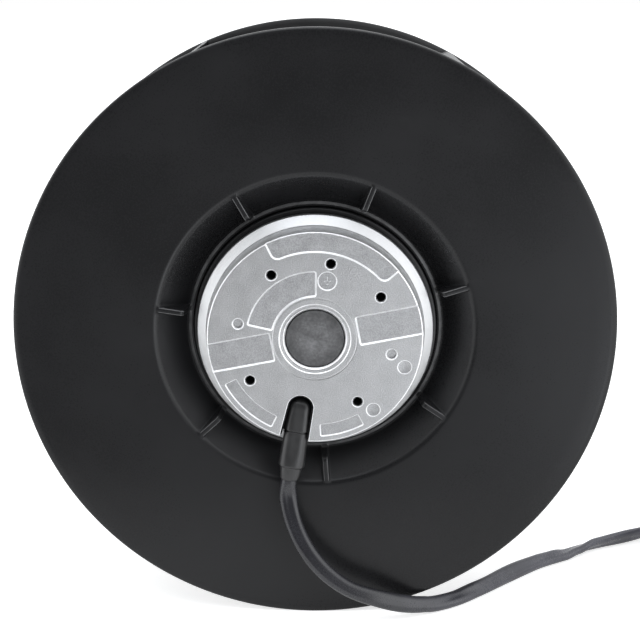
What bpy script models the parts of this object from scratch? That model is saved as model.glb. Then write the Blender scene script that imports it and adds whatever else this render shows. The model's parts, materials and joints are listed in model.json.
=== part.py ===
"""Backward-curved centrifugal fan on an external-rotor motor, size 225.

The fan axis lies along Y. The origin is the centre of the motor's mounting
face, which looks towards -Y; the inlet eye opens towards +Y and Z is up. The
wheel stands on its two rims, as it does on a table. Each piece is one object,
and the pieces that spin share the axis through the origin.
"""

import math
from collections.abc import Callable

import bmesh
import bpy
import numpy as np
from mathutils import Matrix, Vector

MM = 0.001
FIT = 0.3 * MM  # clearance between pieces that seat on each other
AIR_GAP = 0.7 * MM  # between the stator's teeth and the rotor's core
CUT = 1.0 * MM  # how far a cutter stands out of what it cuts
SMALL_FILLET = 1.3 * MM  # a fillet smaller than this is drawn as one chamfer
FILLET_STEP = 46.0  # degrees of a larger fillet for each of its facets
EDGE = 0.5 * MM  # broken edge of a turned or moulded piece

# Facets around each kind of turned piece
WHEEL_FACETS = 56
MOTOR_FACETS = 40
INNER_FACETS = 24
SMALL_FACETS = 16
SCREW_FACETS = 10

# Wheel
WHEEL_RADIUS = 112.5 * MM
RIM_PLANE = 6.0 * MM  # front of the rim bead, behind the mounting face
BEAD_WIDTH = 2.2 * MM
BEAD_HEIGHT = 1.6 * MM
DISC_WALL = 2.2 * MM
DISC_DISH = 0.9 * MM  # how much deeper the disc lies at its shoulder than at its bead
SHOULDER_RADIUS = 59.6 * MM  # where the disc turns down into the cone
SHOULDER_FILLET = 3.0 * MM
CONE_DEPTH = 11.2 * MM
CONE_FOOT_WIDTH = 0.8 * MM  # between the cone's foot and the collar
COLLAR_WALL = 2.0 * MM
COLLAR_LIP = 0.8 * MM  # height of the lip above the foot of the cone
COLLAR_EDGE = 0.7 * MM
HUB_FLOOR_WALL = 2.7 * MM
GUSSET_WALL = 1.9 * MM
GUSSET_ANGLE = 17.1  # degrees from +X towards +Z, the first of one per blade
GUSSET_TOP_SET_IN = 1.6 * MM  # how far a gusset's top stops short of the collar
GUSSET_TOP_FILLET = 1.2 * MM
GUSSET_TOP_DROP = 0.1 * MM  # from the disc's face to a gusset's top
GUSSET_ROOT = 0.6 * MM  # how far a gusset runs into the cone and the collar

# Blades and front ring
BLADES = 7
BLADE_WALL = 2.0 * MM
BLADE_EDGE_SHARE = 0.45  # of the wall, at a blade's leading and trailing edge
BLADE_TRAILING_ANGLE = 9.6  # degrees at the rim, the first blade
BLADE_SWEEP = 58.9  # degrees from the leading edge's hub end to the rim
BLADE_EYE_SET_BACK = 4.0 * MM  # leading edge's outer end, outside the eye
BLADE_EDGE_INSET = 0.2 * MM  # trailing edge, inside the rim
OUTLET_WIDTH = 60.2 * MM  # between the disc and the front ring at the rim
RING_WALL = 2.2 * MM
EYE_RADIUS = 75.0 * MM
EYE_HEIGHT = 27.0 * MM  # from the front ring's outer edge to the end of the eye
# Handles of the ring's curve, as shares of its width across and of the eye's height
RIM_HANDLE = (0.44, 0.055)
EYE_HANDLE = (0.04, 0.63)
RING_STEPS = 8
CHORD_STEPS = 11
SPAN_STEPS = 3

# Motor flange
FACE_RADIUS = 40.0 * MM
WALL_FOOT_RADIUS = 40.8 * MM
WALL_DEPTH = 9.6 * MM
FLANGE_RADIUS = 44.4 * MM
CHAMFER_DEPTH = 2.9 * MM
FLANGE_DEPTH = 15.0 * MM
FLANGE_EDGE = 0.6 * MM
BORE_RADIUS = 11.0 * MM
BORE_CHAMFER = 1.1 * MM
GROOVE_RADIUS = 13.5 * MM
GROOVE_WIDTH = 0.5 * MM
GROOVE_DEPTH = 0.4 * MM
TUBE_WALL = 3.5 * MM
TUBE_SHOULDER = 1.5 * MM
TUBE_ROOT = (5.0 * MM, 2.0 * MM)  # cone that joins the bearing tube to the flange

BOLT_CIRCLE = 28.9 * MM
BOLT_ANGLE = 33.4
BOLT_STEPS = (0, 1, 2, 3, 4, 6, 7)  # eighths of a turn from BOLT_ANGLE, the slot left out
BLIND_STEPS = (3, 7)
BOLT_HOLE_RADIUS = 1.65 * MM
BOLT_HOLE_DEPTH = 10.0 * MM
BOLT_CHAMFER = 0.75 * MM
BLIND_DEPTH = 1.0 * MM

POCKET_DEPTH = 2.0 * MM
POCKET_FILLET = 1.5 * MM
SIDE_POCKET_ANGLE = 10.8
SIDE_POCKET_WIDTH = 10.1 * MM
SIDE_POCKET_START = 16.5 * MM
ARC_POCKET = (16.5 * MM, 25.1 * MM, 90.0, 167.0)
TOP_POCKET_RADIUS = 33.1 * MM
TOP_POCKET_HALF_ANGLE = 37.9
TOP_POCKET_FILLET = 2.5 * MM
PANEL_DEPTH = 0.4 * MM
PANEL_FILLET = 0.8 * MM
PANEL_RADII = (33.3 * MM, 37.5 * MM)
PANEL_ANGLES = ((208.0, 244.0), (273.6, 298.4))
EARTH_PAD_RADIUS = 3.2 * MM
EARTH_PAD_CIRCLE = 22.4 * MM
DIMPLE_CIRCLE = 34.9 * MM
DIMPLE_RADIUS = 2.4 * MM
DIMPLE_ANGLES = (-17.9, -51.5)

SLOT_START = 26.8 * MM  # centre of the slot's round end
SLOT_HALF_WIDTH = 4.85 * MM
SLOT_FLARE = 3.0  # degrees on each side
SLOT_DEPTH = 8.8 * MM

# Motor inside
SHAFT_RADIUS = 4.0 * MM
BEARING_WIDTH = 7.0 * MM
BEARING_RACE_WALL = 1.6 * MM
BALLS = 7
BALL_RADIUS = 1.7 * MM
BALL_ANGLE = 4.0  # degrees from +X towards +Z, the first ball
CAGE_WALL = 1.0 * MM
CAGE_MARGIN = 0.6 * MM  # cage beyond the balls on each side
WASHER_WALL = 0.25 * MM
WASHER_WAVE = 0.25 * MM
WASHER_WAVES = 3
REAR_BEARING = 4.5 * MM
FRONT_BEARING = 45.0 * MM
CAP_DEPTH = 1.2 * MM
CAP_THICKNESS = 2.6 * MM
STACK_START = 25.0 * MM
STACK_LENGTH = 20.0 * MM
STATOR_RADIUS = 33.0 * MM
TEETH = 12
TOOTH_SLOT = 3.0 * MM
TOOTH_BODY = 6.0 * MM
TOOTH_TIP = 3.0 * MM
CORE_WALL = 4.5 * MM
INSULATOR_WALL = 1.2 * MM
WINDING_HEIGHT = 5.6 * MM
WINDING_SET_IN = 2.0 * MM  # from the stator's outside
WINDING_SHARE = 0.65  # of the way between the bearing tube and the stator's outside
WINDING_FILLET = 1.2 * MM

ROTOR_CORE_WALL = 9.0 * MM
CAN_WALL = 3.0 * MM
CAN_START = 17.0 * MM
CAN_SHOULDER = 54.2 * MM
CAN_STEP = 8.0 * MM  # width of the shoulder between the can's side and its boss
CAN_END = 64.0 * MM
CAN_HUB_RADIUS = 9.0 * MM
CAN_HUB_DEPTH = 6.0 * MM
SHORT_RING_HEIGHT = 4.2 * MM
SHORT_RING_SET_BACK = 0.8 * MM  # from the rotor core's bore
BOSS_FILLET = 4.0 * MM
BOSS_INNER_FILLET = 1.5 * MM
CAN_EDGE = 1.2 * MM
SHAFT_START = 0.4 * MM  # ahead of the rear bearing
SHAFT_SET_IN = 0.6 * MM  # from the end of the can's boss
CLIP_WIDTH = 0.9 * MM
CLIP_GROOVE = 0.7 * MM
CLIP_REACH = 1.6 * MM  # beyond the shaft
CLIP_OPENING = 35.0  # degrees on each side of -Z

SCREWS = 4
SCREW_ANGLE = 45.0
SCREW_SHANK_RADIUS = 1.9 * MM
SCREW_HEAD_RADIUS = 3.4 * MM
SCREW_HEAD_HEIGHT = 2.3 * MM
SCREW_DRIVE_RADIUS = 1.5 * MM
SCREW_DRIVE_DEPTH = 1.2 * MM
SCREW_HEAD_FILLET = 0.9 * MM
SCREW_TIP = 0.6 * MM  # through the can's shoulder

# Lead, as it hangs from the slot and lies on the table
TABLE = -WHEEL_RADIUS
LEAD_DIAMETER = 5.5 * MM
GROMMET_LEAN = 3.1  # degrees that the grommet turns from the slot's own direction
GROMMET_TILT = 0.03  # rise towards the front for each length outwards
GROMMET_AXIS_DEPTH = 4.4 * MM
GROMMET_FLATTENING = 0.85
GROMMET_BODY_RADIUS = 4.4 * MM
GROMMET_TAIL_RADIUS = 3.4 * MM
GROMMET_START = 27.2 * MM
GROMMET_NECK_END = 37.0 * MM
GROMMET_COLLAR = 51.9 * MM
GROMMET_END = 58.2 * MM
GROMMET_BODY_TAPER = 0.3 * MM
GROMMET_COLLAR_TAPER = 0.7 * MM
GROMMET_TAIL_TAPER = 0.2 * MM
LEAD_ROUTE = (
    (-9.0, 1.6, -70.3),
    (-5.0, -1.5, -79.7),
    (2.2, -3.5, -89.5),
    (12.2, -4.5, -97.3),
    (24.9, -3.5, -102.4),
    (39.5, 2.5, -107.6),
    (51.5, 10.0, -109.5),
    (64.3, 20.0, -109.7),
    (78.5, 34.1, -109.7),
    (93.1, 47.4, -109.7),
    (107.4, 57.7, -109.7),
    (122.4, 67.0, -109.5),
    (133.2, 72.0, -109.1),
    (142.5, 76.5, -108.7),
)
COIL_CENTRE = (177.0 * MM, 60.0 * MM)
COIL_RADIUS = 30.0 * MM
COIL_LIFT = 1.2 * MM  # the tie passes under the turns
COIL_TURNS = 2.32
COIL_PITCH = 5.7 * MM
COIL_EXIT_ANGLE = 0.0  # degrees from +X towards +Y
TAIL_FALL = 0.22  # share of its height that the tail has lost where it clears the coil
TIE_ANGLE = 215.0
TIE_WIDTH = 4.0 * MM
TIE_WALL = 0.8 * MM
CONNECTOR_SIZE = (14.0 * MM, 20.0 * MM, 8.0 * MM)
CONNECTOR_WAYS = 4
CONNECTOR_WAY = 1.8 * MM
CONNECTOR_WAY_DEPTH = 8.0 * MM
CONNECTOR_SIDE = 0.2  # width of a side wall, as a share of the pitch of the ways
CONNECTOR_LIFT = 0.4 * MM  # off the table
CONNECTOR_GAP = 15.0 * MM  # from the coil's tail to the connector

# Places that follow from the sizes above
CORE_BORE = STATOR_RADIUS + AIR_GAP
CAN_RADIUS = CORE_BORE + ROTOR_CORE_WALL + FIT + CAN_WALL
CAN_BOSS_RADIUS = CAN_RADIUS - CAN_STEP
DISC_FACE = RIM_PLANE + BEAD_HEIGHT
DISC_BACK = DISC_FACE + DISC_WALL
SHOULDER_FACE = DISC_FACE + DISC_DISH
COLLAR_BORE = CAN_RADIUS + FIT
COLLAR_RADIUS = COLLAR_BORE + COLLAR_WALL
CONE_FOOT = SHOULDER_FACE + CONE_DEPTH
HUB_FLOOR = CAN_SHOULDER + FIT
HUB_END = HUB_FLOOR + HUB_FLOOR_WALL
RING_EDGE = DISC_BACK + OUTLET_WIDTH
TUBE_RADIUS = BORE_RADIUS + TUBE_WALL
TUBE_END = FRONT_BEARING + BEARING_WIDTH + 2 * FIT
SCREW_CIRCLE = (CAN_BOSS_RADIUS + CAN_RADIUS) / 2 + FIT
BALL_CIRCLE = (SHAFT_RADIUS + BORE_RADIUS) / 2 + FIT / 2
SLOT_ANGLE = BOLT_ANGLE + 225
ALONG_FAN_AXIS = Matrix.Rotation(math.radians(-90), 4, "X")
FACING_FRONT = Matrix.Rotation(math.radians(90), 4, "X")

Point = tuple[float, float]


def clear_scene() -> tuple[bpy.types.Collection, bpy.types.Collection]:
    """Empties the scene and returns the collections of parts and of cutters."""
    for old in list(bpy.data.objects):
        bpy.data.objects.remove(old, do_unlink=True)
    made = []
    for name in ("centrifugal_fan", "cutters"):
        collection = bpy.data.collections.new(name)
        bpy.context.scene.collection.children.link(collection)
        made.append(collection)
    return made[0], made[1]


PARTS, CUTTERS = clear_scene()


def finish(name: str, colour: tuple[float, float, float], roughness: float, metallic: float):
    """A Principled material with the given colour, roughness and metallic value."""
    material = bpy.data.materials.new(name)
    material.use_nodes = True
    shader = material.node_tree.nodes["Principled BSDF"]
    shader.inputs["Base Color"].default_value = (*colour, 1.0)
    shader.inputs["Roughness"].default_value = roughness
    shader.inputs["Metallic"].default_value = metallic
    return material


DIE_CAST = finish("die_cast_aluminium", (0.60, 0.61, 0.62), 0.38, 1.0)
BLACK_PLASTIC = finish("black_plastic", (0.020, 0.020, 0.022), 0.45, 0.0)
BLACK_STEEL = finish("black_painted_steel", (0.015, 0.015, 0.016), 0.40, 0.0)
STEEL = finish("bright_steel", (0.55, 0.55, 0.56), 0.25, 1.0)
LAMINATION = finish("laminated_steel", (0.20, 0.20, 0.21), 0.50, 1.0)
COPPER = finish("enamelled_copper", (0.55, 0.20, 0.08), 0.35, 1.0)
INSULATION = finish("insulating_plastic", (0.70, 0.68, 0.60), 0.55, 0.0)
GREY_RUBBER = finish("grey_rubber", (0.07, 0.07, 0.075), 0.70, 0.0)
SLEEVE = finish("lead_sleeve", (0.075, 0.075, 0.085), 0.55, 0.0)
WHITE_NYLON = finish("white_nylon", (0.75, 0.75, 0.73), 0.50, 0.0)


def polar(radius: float, angle: float) -> Point:
    """The point (x, z) at a radius and an angle in degrees from +X towards +Z."""
    return radius * math.cos(math.radians(angle)), radius * math.sin(math.radians(angle))


def rounded(corners: list[tuple[float, float, float]], closed: bool = True) -> list[Point]:
    """An outline through corners of (u, v, fillet radius), with the fillets drawn as arcs."""
    points: list[Point] = []
    count = len(corners)
    for i, (u, v, radius) in enumerate(corners):
        here = np.array((u, v))
        if radius <= 0 or (not closed and i in (0, count - 1)):
            points.append((u, v))
            continue
        before = np.array(corners[i - 1][:2]) - here
        after = np.array(corners[(i + 1) % count][:2]) - here
        length_before, length_after = np.linalg.norm(before), np.linalg.norm(after)
        before, after = before / length_before, after / length_after
        half = math.acos(float(np.clip(before @ after, -1, 1))) / 2
        reach = min(radius / math.tan(half), 0.49 * length_before, 0.49 * length_after)
        fillet = reach * math.tan(half)
        centre = here + (before + after) / np.linalg.norm(before + after) * (fillet / math.sin(half))
        start, end = here + before * reach - centre, here + after * reach - centre
        turn = math.pi - 2 * half
        steps = 1 if fillet < SMALL_FILLET else math.ceil(math.degrees(turn) / FILLET_STEP)
        for k in range(steps + 1):
            mix = math.sin(turn * (1 - k / steps)) * start + math.sin(turn * k / steps) * end
            points.append(tuple(centre + mix / math.sin(turn)))
    return points


def runs_clockwise(points: list[Point]) -> bool:
    """Whether a closed outline runs clockwise, with u to the right and v up."""
    u, v = np.array(points).T
    return float(np.sum(u * np.roll(v, -1) - np.roll(u, -1) * v)) < 0


def add_object(name: str, mesh: bpy.types.Mesh, material=None, place: Matrix = Matrix()):
    """Adds a part to the scene, or a cutter where there is no material."""
    made = bpy.data.objects.new(name, mesh)
    made.matrix_world = place
    if material is None:
        CUTTERS.objects.link(made)
        made.hide_render = True
        made.display_type = "WIRE"
    else:
        PARTS.objects.link(made)
        mesh.materials.append(material)
    return made


def turned(
    name: str,
    profile: list[Point],
    facets: int,
    material=None,
    place: Matrix = ALONG_FAN_AXIS,
):
    """A profile of (radius, height) points, turned about its own Z with a Screw modifier.

    It closes on itself, or on the axis where its first and last points lie there.
    """
    outline = profile if runs_clockwise(profile) else profile[::-1]
    mesh = bpy.data.meshes.new(name)
    count = len(outline)
    mesh.from_pydata(
        [(radius, 0.0, height) for radius, height in outline],
        [(i, (i + 1) % count) for i in range(count) if i < count - 1 or outline[0][0] > 0],
        [],
    )
    made = add_object(name, mesh, material, place)
    screw = made.modifiers.new("turn", "SCREW")
    screw.angle = math.tau
    screw.steps = screw.render_steps = facets
    screw.use_merge_vertices = True
    screw.merge_threshold = 0.00001
    screw.use_smooth_shade = True
    return made


def as_mesh(curve_object, name: str, material=None):
    """A curve object made one closed mesh in the same place; the curve goes."""
    evaluated = curve_object.evaluated_get(bpy.context.evaluated_depsgraph_get())
    mesh = bpy.data.meshes.new_from_object(evaluated)
    place = curve_object.matrix_world.copy()
    bpy.data.objects.remove(curve_object, do_unlink=True)
    shape = bmesh.new()
    shape.from_mesh(mesh)
    bmesh.ops.remove_doubles(shape, verts=shape.verts, dist=0.000001)
    bmesh.ops.recalc_face_normals(shape, faces=shape.faces)
    shape.to_mesh(mesh)
    shape.free()
    mesh.materials.clear()
    return add_object(name, mesh, material, place)


def flat(name: str, outline: list[Point], thickness: float, place: Matrix, material=None):
    """A flat outline in its own XY, extruded by half its thickness each way."""
    curve = bpy.data.curves.new(name, "CURVE")
    curve.dimensions = "2D"
    curve.fill_mode = "BOTH"
    curve.extrude = thickness / 2
    spline = curve.splines.new("POLY")
    spline.points.add(len(outline) - 1)
    spline.points.foreach_set("co", np.array([(u, v, 0, 1) for u, v in outline]).ravel())
    spline.use_cyclic_u = True
    guide = bpy.data.objects.new(name + "_outline", curve)
    CUTTERS.objects.link(guide)
    guide.matrix_world = place
    bpy.context.view_layer.update()
    return as_mesh(guide, name, material)


def plate(name: str, outline: list[Point], front: float, back: float, material=None, turn: float = 0.0):
    """An outline in (x, z) that reaches from one depth to another, turned about the fan axis."""
    spin = Matrix.Rotation(math.radians(-turn), 4, "Y")
    place = spin @ Matrix.Translation((0, (front + back) / 2, 0)) @ FACING_FRONT
    return flat(name, outline, back - front, place, material)


def drilled(name: str, radius: float, front: float, back: float, at: Point, countersink: float = 0.0):
    """A round cutter along the fan axis, with a 45 degree countersink where it enters."""
    profile = [(0.0, front), (radius, front), (radius, back), (0.0, back)]
    if countersink:
        profile[1:2] = [(radius + countersink - front, front), (radius, countersink)]
    place = Matrix.Translation((at[0], 0, at[1])) @ ALONG_FAN_AXIS
    return turned(name, profile, SMALL_FACETS, None, place)


def box(name: str, low: Vector, high: Vector, material=None, place: Matrix = Matrix()):
    """A box between two corners."""
    shape = bmesh.new()
    bmesh.ops.create_cube(shape, size=1.0)
    low, high = Vector(low), Vector(high)
    bmesh.ops.scale(shape, vec=high - low, verts=shape.verts)
    bmesh.ops.translate(shape, vec=(low + high) / 2, verts=shape.verts)
    mesh = bpy.data.meshes.new(name)
    shape.to_mesh(mesh)
    shape.free()
    return add_object(name, mesh, material, place)


def combine(target, tools: list, operation: str = "DIFFERENCE") -> None:
    """Cuts separate tools out of a part in one step, or joins them on with UNION."""
    kit = bpy.data.collections.new(f"{target.name}_{operation.lower()}")
    CUTTERS.children.link(kit)
    for tool in tools:
        CUTTERS.objects.unlink(tool)
        kit.objects.link(tool)
    boolean = target.modifiers.new(kit.name, "BOOLEAN")
    boolean.operation = operation
    boolean.solver = "EXACT"
    boolean.operand_type = "COLLECTION"
    boolean.collection = kit


def offset(path: np.ndarray, distance: float) -> np.ndarray:
    """An open path moved sideways, to the right of its own direction."""
    along = np.gradient(path, axis=0)
    along /= np.linalg.norm(along, axis=1)[:, None]
    return path + distance * np.column_stack((along[:, 1], -along[:, 0]))


def ring_sector(inner: float, outer: float, start: float, end: float, fillet: float) -> list[Point]:
    """The outline of part of a ring between two radii and two angles in degrees."""
    middle = list(np.linspace(start, end, 7)[1:-1])
    corners = [(*polar(inner, start), fillet)]
    corners += [(*polar(inner, angle), 0.0) for angle in middle]
    corners += [(*polar(inner, end), fillet), (*polar(outer, end), fillet)]
    corners += [(*polar(outer, angle), 0.0) for angle in reversed(middle)]
    corners.append((*polar(outer, start), fillet))
    return rounded(corners)


# Wheel


def ring_inner_path() -> np.ndarray:
    """The front ring's air side as (radius, depth), from the rim to the end of the eye."""
    rim = np.array((WHEEL_RADIUS, RING_EDGE))
    eye = np.array((EYE_RADIUS, RING_EDGE + EYE_HEIGHT))
    across, along = eye - rim
    near_rim = rim + np.array(RIM_HANDLE) * (across, along)
    near_eye = eye - np.array(EYE_HANDLE) * (across, along)
    t = np.linspace(0, 1, RING_STEPS + 1)[:, None]
    return rim * (1 - t) ** 3 + 3 * near_rim * t * (1 - t) ** 2 + 3 * near_eye * t**2 * (1 - t) + eye * t**3


def disc_air_path() -> list[Point]:
    """The back disc's air side as (radius, depth), from the rim to the collar's end."""
    shoulder = SHOULDER_FACE + DISC_WALL
    return rounded(
        [
            (WHEEL_RADIUS, DISC_BACK, 0.0),
            (SHOULDER_RADIUS + DISC_WALL / 2, shoulder, 2 * SHOULDER_FILLET),
            (COLLAR_RADIUS, CONE_FOOT + DISC_WALL * 1.6, SHOULDER_FILLET),
            (COLLAR_RADIUS, HUB_END, 0.0),
        ],
        closed=False,
    )


def back_disc():
    """The dished back disc with its rim bead, cone, collar, hub floor and gussets."""
    bead_foot = WHEEL_RADIUS - BEAD_WIDTH - BEAD_HEIGHT / 3
    cone_foot_radius = COLLAR_RADIUS + CONE_FOOT_WIDTH
    lip = CONE_FOOT - COLLAR_LIP
    hub_chamfer = COLLAR_WALL + 2 * EDGE
    air_side = disc_air_path()
    face_side = rounded(
        [
            (COLLAR_RADIUS - hub_chamfer, HUB_END, 0.0),
            (CAN_BOSS_RADIUS + 2 * FIT, HUB_END, EDGE),
            (CAN_BOSS_RADIUS + 2 * FIT, HUB_FLOOR, 0.0),
            (COLLAR_BORE, HUB_FLOOR, 0.0),
            (COLLAR_BORE, lip, COLLAR_EDGE),
            (COLLAR_RADIUS, lip, COLLAR_EDGE),
            (COLLAR_RADIUS, CONE_FOOT + CONE_FOOT_WIDTH / 3, 0.0),
            (cone_foot_radius, CONE_FOOT, 0.0),
            (SHOULDER_RADIUS, SHOULDER_FACE, SHOULDER_FILLET),
            (bead_foot, DISC_FACE, 2 * EDGE),
            (WHEEL_RADIUS - BEAD_WIDTH, RIM_PLANE, EDGE),
            (WHEEL_RADIUS, RIM_PLANE, EDGE),
            (WHEEL_RADIUS, DISC_BACK, 0.0),
        ],
        closed=False,
    )
    end_of_collar = [(COLLAR_RADIUS, HUB_END - hub_chamfer)]
    disc = turned(
        "back_disc",
        face_side + air_side[1:-1] + end_of_collar,
        WHEEL_FACETS,
        BLACK_PLASTIC,
    )
    top = SHOULDER_FACE + GUSSET_TOP_DROP
    side = rounded(
        [
            (COLLAR_RADIUS - GUSSET_ROOT, lip + COLLAR_EDGE, 0.0),
            (COLLAR_RADIUS + GUSSET_TOP_SET_IN, top, GUSSET_TOP_FILLET),
            (SHOULDER_RADIUS + GUSSET_ROOT, top, 0.0),
            (SHOULDER_RADIUS + GUSSET_ROOT, SHOULDER_FACE + 2 * GUSSET_ROOT, 0.0),
            (cone_foot_radius, CONE_FOOT + 2 * GUSSET_ROOT, 0.0),
            (COLLAR_RADIUS - GUSSET_ROOT, CONE_FOOT + GUSSET_ROOT, 0.0),
        ]
    )
    gussets = []
    for k in range(BLADES):
        turn = Matrix.Rotation(math.radians(-GUSSET_ANGLE - 360 * k / BLADES), 4, "Y")
        gussets.append(flat(f"gusset_{k + 1}", side, GUSSET_WALL, turn))
    combine(disc, gussets, "UNION")
    combine(disc, screw_holes("hub_hole", HUB_FLOOR - CUT, HUB_END + CUT))
    return disc


def front_ring():
    """The front ring, a shell from the rim to the inlet eye."""
    air_side = ring_inner_path()
    outside = offset(air_side, RING_WALL)
    profile = [tuple(point) for point in air_side] + [tuple(point) for point in outside[::-1]]
    profile[-1] = (WHEEL_RADIUS, RING_EDGE + RING_WALL)
    return turned("front_ring", profile, WHEEL_FACETS, BLACK_PLASTIC)


def blade_mesh() -> bpy.types.Mesh:
    """One blade between the disc and the front ring, on a logarithmic camber line.

    Each vertex takes its depth from its own radius, so the blade's edges follow the
    disc's cone and the ring's curve with the same clearance all along.
    """
    disc_side = offset(np.array(disc_air_path()), FIT)
    ring_side = offset(ring_inner_path(), -FIT)
    eye_end = EYE_RADIUS + BLADE_EYE_SET_BACK
    hub_end = SHOULDER_RADIUS + DISC_WALL
    rim_end = WHEEL_RADIUS - BLADE_EDGE_INSET - BLADE_EDGE_SHARE * BLADE_WALL / 2

    def depth_on(path: np.ndarray, radius: float) -> float:
        order = np.argsort(path[:, 0])
        return float(np.interp(radius, path[order, 0], path[order, 1]))

    def camber(radius: float) -> np.ndarray:
        share = math.log(radius / hub_end) / math.log(WHEEL_RADIUS / hub_end)
        angle = BLADE_TRAILING_ANGLE + BLADE_SWEEP * (1 - share)
        return np.array(polar(radius, angle))

    shape = bmesh.new()
    grid = {}
    for k in range(SPAN_STEPS + 1):
        span = k / SPAN_STEPS
        start = hub_end + (eye_end - hub_end) * span
        for i in range(CHORD_STEPS + 1):
            chord = i / CHORD_STEPS
            radius = start + (rim_end - start) * chord
            ahead = camber(radius + 0.1 * MM) - camber(radius - 0.1 * MM)
            ahead /= np.linalg.norm(ahead)
            normal = np.array((-ahead[1], ahead[0]))
            slim = BLADE_EDGE_SHARE if i in (0, CHORD_STEPS) else 1.0
            for side in (-1, 1):
                x, z = camber(radius) + normal * side * slim * BLADE_WALL / 2
                own = math.hypot(x, z)
                low, high = depth_on(disc_side, own), depth_on(ring_side, own)
                grid[i, side, k] = shape.verts.new((x, low + (high - low) * span, z))
    for k in range(SPAN_STEPS):
        for i in range(CHORD_STEPS):
            for side in (-1, 1):
                corners = ((i, k), (i + 1, k), (i + 1, k + 1), (i, k + 1))
                shape.faces.new([grid[a, side, b] for a, b in corners])
        for i in (0, CHORD_STEPS):
            shape.faces.new([grid[i, a, b] for a, b in ((-1, k), (1, k), (1, k + 1), (-1, k + 1))])
    for k in (0, SPAN_STEPS):
        for i in range(CHORD_STEPS):
            shape.faces.new([grid[a, b, k] for a, b in ((i, -1), (i + 1, -1), (i + 1, 1), (i, 1))])
    bmesh.ops.recalc_face_normals(shape, faces=shape.faces)
    mesh = bpy.data.meshes.new("blade")
    shape.to_mesh(mesh)
    shape.free()
    mesh.materials.append(BLACK_PLASTIC)
    return mesh


def blades() -> None:
    """The blades, equally spaced, sharing one mesh."""
    mesh = blade_mesh()
    for k in range(BLADES):
        blade = bpy.data.objects.new(f"blade_{k + 1}", mesh)
        blade.matrix_world = Matrix.Rotation(math.radians(-360 * k / BLADES), 4, "Y")
        PARTS.objects.link(blade)


def screw_holes(name: str, front: float, back: float) -> list:
    """Cutters for the hub screws' holes, from one depth to another."""
    spots = [polar(SCREW_CIRCLE, SCREW_ANGLE + 360 * k / SCREWS) for k in range(SCREWS)]
    radius = SCREW_SHANK_RADIUS + FIT
    return [drilled(f"{name}_{k + 1}", radius, front, back, at) for k, at in enumerate(spots)]


def hub_screws() -> None:
    """The pan-head screws that hold the wheel's hub on the can's shoulder."""
    tip = CAN_SHOULDER - CAN_WALL - SCREW_TIP
    seat = HUB_END + FIT
    head = seat + SCREW_HEAD_HEIGHT
    profile = rounded(
        [
            (0.0, tip, 0.0),
            (SCREW_SHANK_RADIUS, tip, EDGE),
            (SCREW_SHANK_RADIUS, seat, 0.0),
            (SCREW_HEAD_RADIUS, seat, 0.0),
            (SCREW_HEAD_RADIUS, head, SCREW_HEAD_FILLET),
            (SCREW_DRIVE_RADIUS, head, 0.0),
            (SCREW_DRIVE_RADIUS, head - SCREW_DRIVE_DEPTH, 0.0),
            (0.0, head - SCREW_DRIVE_DEPTH, 0.0),
        ]
    )
    for k in range(SCREWS):
        x, z = polar(SCREW_CIRCLE, SCREW_ANGLE + 360 * k / SCREWS)
        place = Matrix.Translation((x, 0, z)) @ ALONG_FAN_AXIS
        turned(f"hub_screw_{k + 1}", profile, SCREW_FACETS, STEEL, place)


# Motor flange


def flange_pockets() -> list:
    """Cutters for the pockets, panels, pad and dimples of the mounting face."""
    outside = FLANGE_RADIUS + CUT
    half = SIDE_POCKET_WIDTH / 2
    middle = BOLT_ANGLE + 45
    side_pocket = rounded(
        [
            (SIDE_POCKET_START, -half, POCKET_FILLET),
            (outside, -half, 0.0),
            (outside, half, 0.0),
            (SIDE_POCKET_START, half, POCKET_FILLET),
        ]
    )
    top_pocket = ring_sector(
        TOP_POCKET_RADIUS, outside, -TOP_POCKET_HALF_ANGLE, TOP_POCKET_HALF_ANGLE, TOP_POCKET_FILLET
    )
    cutters = [
        plate("side_pocket_1", side_pocket, -CUT, POCKET_DEPTH, turn=SIDE_POCKET_ANGLE),
        plate("side_pocket_2", side_pocket, -CUT, POCKET_DEPTH, turn=SIDE_POCKET_ANGLE + 180),
        plate("arc_pocket", ring_sector(*ARC_POCKET, POCKET_FILLET), -CUT, POCKET_DEPTH),
        plate("top_pocket", top_pocket, -CUT, POCKET_DEPTH, turn=middle),
        drilled("earth_pad", EARTH_PAD_RADIUS, -CUT, PANEL_DEPTH, polar(EARTH_PAD_CIRCLE, middle)),
    ]
    for k, (start, end) in enumerate(PANEL_ANGLES):
        panel = ring_sector(*PANEL_RADII, start, end, PANEL_FILLET)
        cutters.append(plate(f"panel_{k + 1}", panel, -CUT, PANEL_DEPTH))
    for k, angle in enumerate(DIMPLE_ANGLES):
        at = polar(DIMPLE_CIRCLE, angle)
        cutters.append(drilled(f"dimple_{k + 1}", DIMPLE_RADIUS, -CUT, PANEL_DEPTH, at))
    return cutters


def flange_holes() -> list:
    """Cutters for the bolt circle: four mounting holes, the earth hole and two blind ones."""
    cutters = []
    for step in BOLT_STEPS:
        at = polar(BOLT_CIRCLE, BOLT_ANGLE + 45 * step)
        depth = BLIND_DEPTH if step in BLIND_STEPS else BOLT_HOLE_DEPTH
        cutters.append(drilled(f"hole_{step + 1}", BOLT_HOLE_RADIUS, -CUT, depth, at, BOLT_CHAMFER))
    return cutters


def cable_slot() -> list[Point]:
    """The outline of the cable slot along +X: a round end, and sides that flare to the rim."""
    flare = math.radians(SLOT_FLARE)
    length = FLANGE_RADIUS + CUT - SLOT_START
    widen = length * math.tan(flare)
    inner_end = np.linspace(90, 270, 9)
    outline = [(SLOT_START + x, z) for x, z in (polar(SLOT_HALF_WIDTH, angle) for angle in inner_end)]
    outline.append((SLOT_START + length, -SLOT_HALF_WIDTH - widen))
    outline.append((SLOT_START + length, SLOT_HALF_WIDTH + widen))
    return outline


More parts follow.
